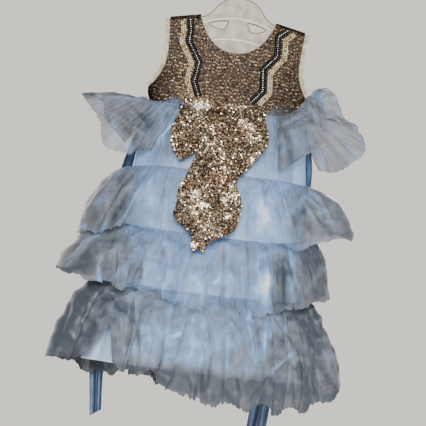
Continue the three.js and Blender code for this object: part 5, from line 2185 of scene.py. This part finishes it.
@dataclass
class SequinTail:
    """A cut piece of sequinned net that falls over the front from the waist."""

    cloth: float = 1.0
    bend: float = 0.35 / 150**2
    room: float = 1.2  # the cloth lies this far behind the outer skin of the sequins
    spacing: float = 4.0
    cut: tuple[float, float] = (0.18, 0.29)
    cut_area: float = 0.0325
    outline: Rows = (
        (-74, -252), (-85, -281), (-94, -300), (-95.5, -319), (-91, -337), (-83, -352), (-73, -361),
        (-58, -352.5), (-45, -343), (-50, -362), (-58, -385), (-67, -407), (-70, -420), (-69, -433),
        (-71, -448), (-73, -460), (-65, -471), (-50, -481), (-39, -490), (-35, -499), (-35.5, -511),
        (-32, -519), (-22, -516), (-11, -519), (-8, -510), (2, -498), (18, -489), (32, -480),
        (40, -470), (44.5, -452), (45.5, -434), (41.5, -416), (34.5, -402), (31, -388), (37, -376.5),
        (47, -366), (56, -354), (65, -340.5), (74, -325), (78.5, -313), (78, -300), (72.5, -284),
        (67, -268), (62, -252),
    )
    forward: Table = Table(
        ("z", "forward"),
        (
            (-250, 20.7), (-262, 23), (-275, 36), (-300, 51), (-330, 62),
            (-366, 69), (-390, 73), (-430, 82), (-470, 91), (-524, 97),
        ),
    )
    glints: Glints = Glints(
        (
            (-46, -261, 17, 8, 1.0), (30, -283, 10, 6, 1.0), (44, -290, 7, 5, 0.7), (64, -306, 5, 9, 0.6),
            (-76, -298, 7, 5, 0.45), (56, -346, 8, 7, 0.6), (-36, -418, 6, 5, 0.85), (-60, -423, 6, 4, 0.85),
            (-20, -437, 9, 5, 1.0), (-34, -452, 6, 4, 0.8), (14, -424, 5, 9, 0.6), (24, -452, 6, 7, 0.7),
            (-30, -509, 7, 6, 0.95),
        )
    )

    def point(self, flat: Array) -> Array:
        """A place on the hanging cloth.

        It lies forward by its height's table value, falls back towards the sides with the square
        of the distance from the middle, and has shallow slanting creases where it hangs loose.

        Args:
            flat: x and z of each place.

        Returns:
            Places in millimetres.
        """
        x, z = flat[..., 0], flat[..., 1]
        loose = smoothstep(-z, 270, 340)
        crease = 1.4 * loose * (1 + np.sin(x / 15 + z / 34))
        forward = self.forward.read("z", "forward", z) * (1 - self.bend * x * x) + crease
        return np.stack([x, -forward - 1.8 + self.room, z], axis=-1)

    def build(self) -> None:
        """Cloth cut to the outline, and sequins over it to the very edge."""
        edge = round_the_edge(np.array(self.outline, dtype=float), 2.2)
        low, high = edge.min(axis=0), edge.max(axis=0)
        grid = self.staggered(low, high, self.spacing, self.spacing * 0.87)
        inner = grid[inside(grid, edge)]
        near = np.min(np.linalg.norm(inner[:, None] - edge[None], axis=-1), axis=1)
        inner = inner[near > 0.5 * self.spacing]
        rim = [(n, (n + 1) % len(edge)) for n in range(len(edge))]
        made = delaunay_2d_cdt([Vector(p) for p in np.vstack([edge, inner]).tolist()], rim, [], 1, 1e-4)
        points, faces = self.point(np.array([tuple(p) for p in made[0]])), np.array(made[2])
        corner = points[faces]
        normal = np.cross(corner[:, 1] - corner[:, 0], corner[:, 2] - corner[:, 0])
        faces[normal[:, 1] > 0] = faces[normal[:, 1] > 0][:, ::-1]
        piece = make_piece("sequin_tail_cloth", points, faces, SewnNet(), "sequinned_net")
        thicken(piece, self.cloth)
        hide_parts("sequin_tail")
        discs, cut, area = self.cover(edge, low, high), self.cut, self.cut_area

    @staticmethod
    def staggered(low: Array, high: Array, across: float, down: float) -> Array:
        """Flat places in staggered rows over a box.

        Args:
            low: its least x and z.
            high: its greatest x and z.
            across: spacing along a row.
            down: spacing of the rows.

        Returns:
            The places, row after row.
        """
        x, z = np.arange(low[0], high[0], across), np.arange(low[1], high[1], down)
        flat = np.stack(np.meshgrid(x, z), axis=-1)
        flat[1::2, :, 0] += across / 2
        return flat.reshape(-1, 2)

    def cover(self, edge: Array, low: Array, high: Array) -> bpy.types.Object:
        """Sequins inside the outline, paler and flatter in the places that catch the light.

        Args:
            edge: the outline's flat points.
            low: their least x and z.
            high: their greatest x and z.

        Returns:
            The discs.
        """
        rng = np.random.default_rng(41)
        sewing = Sequins(across=2.2, down=1.85, radius=1.4, tilt=14.0, cast=0.35)
        flat = self.staggered(low, high, sewing.across, sewing.down)
        flat = flat + rng.uniform(-sewing.astray, sewing.astray, flat.shape)
        flat = flat[inside(flat, edge)]
        place = self.point(flat)
        right, up = (self.point(flat + np.array(step)) - place for step in ([1.0, 0], [0, 1.0]))
        normals = unit(np.cross(right, up))
        normals = normals * np.where(normals[:, 1:2] > 0, -1, 1)
        x, z = flat[:, 0], flat[:, 1]
        slow = 0.06 * np.sin(x / 13 + z / 21) + 0.05 * np.sin(x / 9 - z / 15 + 2)
        tones = rng.normal(0.37, 0.1, len(place)) + slow + 0.4 * (rng.random(len(place)) > 0.95)
        light = self.glints.light(x, z) * (rng.random(len(place)) < 0.7)
        # Painted highlight: at the glints the discs are made paler, as well as turned to the light.
        tones = np.clip(tones + 0.5 * light, 0, 1)
        return sewing.sew("sequin_tail_sequins", place, normals, tones, Shade.OLD_GOLD, rng, light)


@dataclass
class Tie:
    """A satin tie from a side seam, which hangs behind the skirt."""

    name: str
    table: Table
    cut: tuple[float, float]
    folds: Rows  # place across (-1 to 1), width (share), height mm
    slant: float  # how much lower one corner of the end hangs, mm
    cloth: float = 0.8

    def build(self) -> None:
        """A strip turned and cupped as its table says, with long folds and an oblique end."""
        columns, rows = 25, 260
        across = np.linspace(-1, 1, columns)[None]
        down = np.linspace(0, 1, rows)[:, None]
        heights = self.table.column("z")
        z = heights[0] + (heights[-1] - heights[0]) * down
        x, y, width, turn = (self.table.read("z", name, z) for name in ("x", "y", "width", "turn"))
        turn = np.radians(turn)
        settle = np.minimum(down * rows / 12, 1)
        sway = 0.12 * np.sin(5 * down)
        fold = sum(
            high * np.exp(-(((across - place - sway) / wide) ** 2)) for place, wide, high in self.folds
        )
        wrinkle = 0.7 * np.sin(across * 2 + down * 46) * np.sin(down * 17) * settle
        back = 2.5 * settle * (1 - across**2) + (fold + wrinkle) * settle
        reach = across * width / 2
        foot = self.slant * across * smoothstep(down, 0.93, 1.0)
        places = x + reach * np.cos(turn), y - reach * np.sin(turn) + back, z + foot
        points = np.stack(np.broadcast_arrays(*places), axis=-1)
        # Tone near 0, far darker than the underskirt's satin, is painted shade for ties that hang behind the
        # skirt; the tone rises and falls with the folds' height, painted light and shade.
        marks = {"tone": 0.02 + 0.1 * fold * settle + 0 * down}
        piece = make_sheet(self.name + "_satin", points, FRONT, Satin(), "satin", False, self.cloth, marks)
        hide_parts(self.name)


TIE_COLUMNS = ("x", "y", "z", "width", "turn")
TIES = (
    Tie(
        "tie_left",
        Table(
            TIE_COLUMNS,
            (
                (-135.2, 7, -266, 9, -25.5), (-143, 17, -300, 24, -25), (-152, 27, -345, 32, -15),
                (-160, 48, -384, 36, -8), (-168, 76, -430, 36, -8), (-177, 88, -500, 34, -6),
                (-181, 92, -600, 32, 0), (-182, 90, -737, 27, 8), (-173, 88, -838, 20, 14),
            ),
        ),
        cut=(0.034, 0.60),
        folds=((0.15, 0.2, -2.4), (0.62, 0.14, 2.6), (-0.5, 0.3, 1.2)),
        slant=7.0,
    ),
    Tie(
        "tie_right",
        Table(
            TIE_COLUMNS,
            (
                (135.2, 7, -266, 9, 25.5), (143, 17, -300, 24, 25), (149, 29, -345, 32, 15),
                (148, 52, -384, 38, 8), (141, 76, -430, 40, 8), (135, 86, -500, 38, 6),
                (131, 92, -600, 37, 0), (128, 92, -737, 36, -6), (122, 90, -846, 36, -4),
            ),
        ),
        cut=(0.038, 0.60),
        folds=((0.1, 0.22, -2.6), (-0.45, 0.2, 1.8), (0.6, 0.2, 1.4)),
        slant=2.0,
    ),
)


@dataclass
class Hanger:
    """The moulded hanger that carries the dress."""

    node: str = "hanger"

    def build(self) -> None:
        """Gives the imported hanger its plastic."""
        moulding = frame["nodes"][self.node]
        moulding.data.materials.clear()
        moulding.data.materials.append(HangerPlastic().material())


def main() -> None:
    """Builds the studio and every piece in order, and reports each."""
    logging.basicConfig(level=logging.INFO, format="%(name)s: %(message)s")
    Studio().build()
    Hanger().build()
    bodice = Bodice()
    bodice.build()
    for trim in (NeckEdge(), *BANDS, *(ArmholeFrill(side) for side in Side), BackButton()):
        trim.build(bodice)
    skirt = Underskirt()
    skirt.build()
    for strip in (TIER_1, TIER_2, TIER_3, FLOUNCE_FRONT, FLOUNCE_BACK, *WINGS):
        strip.build(skirt)
    SequinTail().build()
    for tie in TIES:
        tie.build()
    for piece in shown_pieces():
        LOG.info("%s rides on %s", piece.name, BODY)


if __name__ == "__main__":
    main()
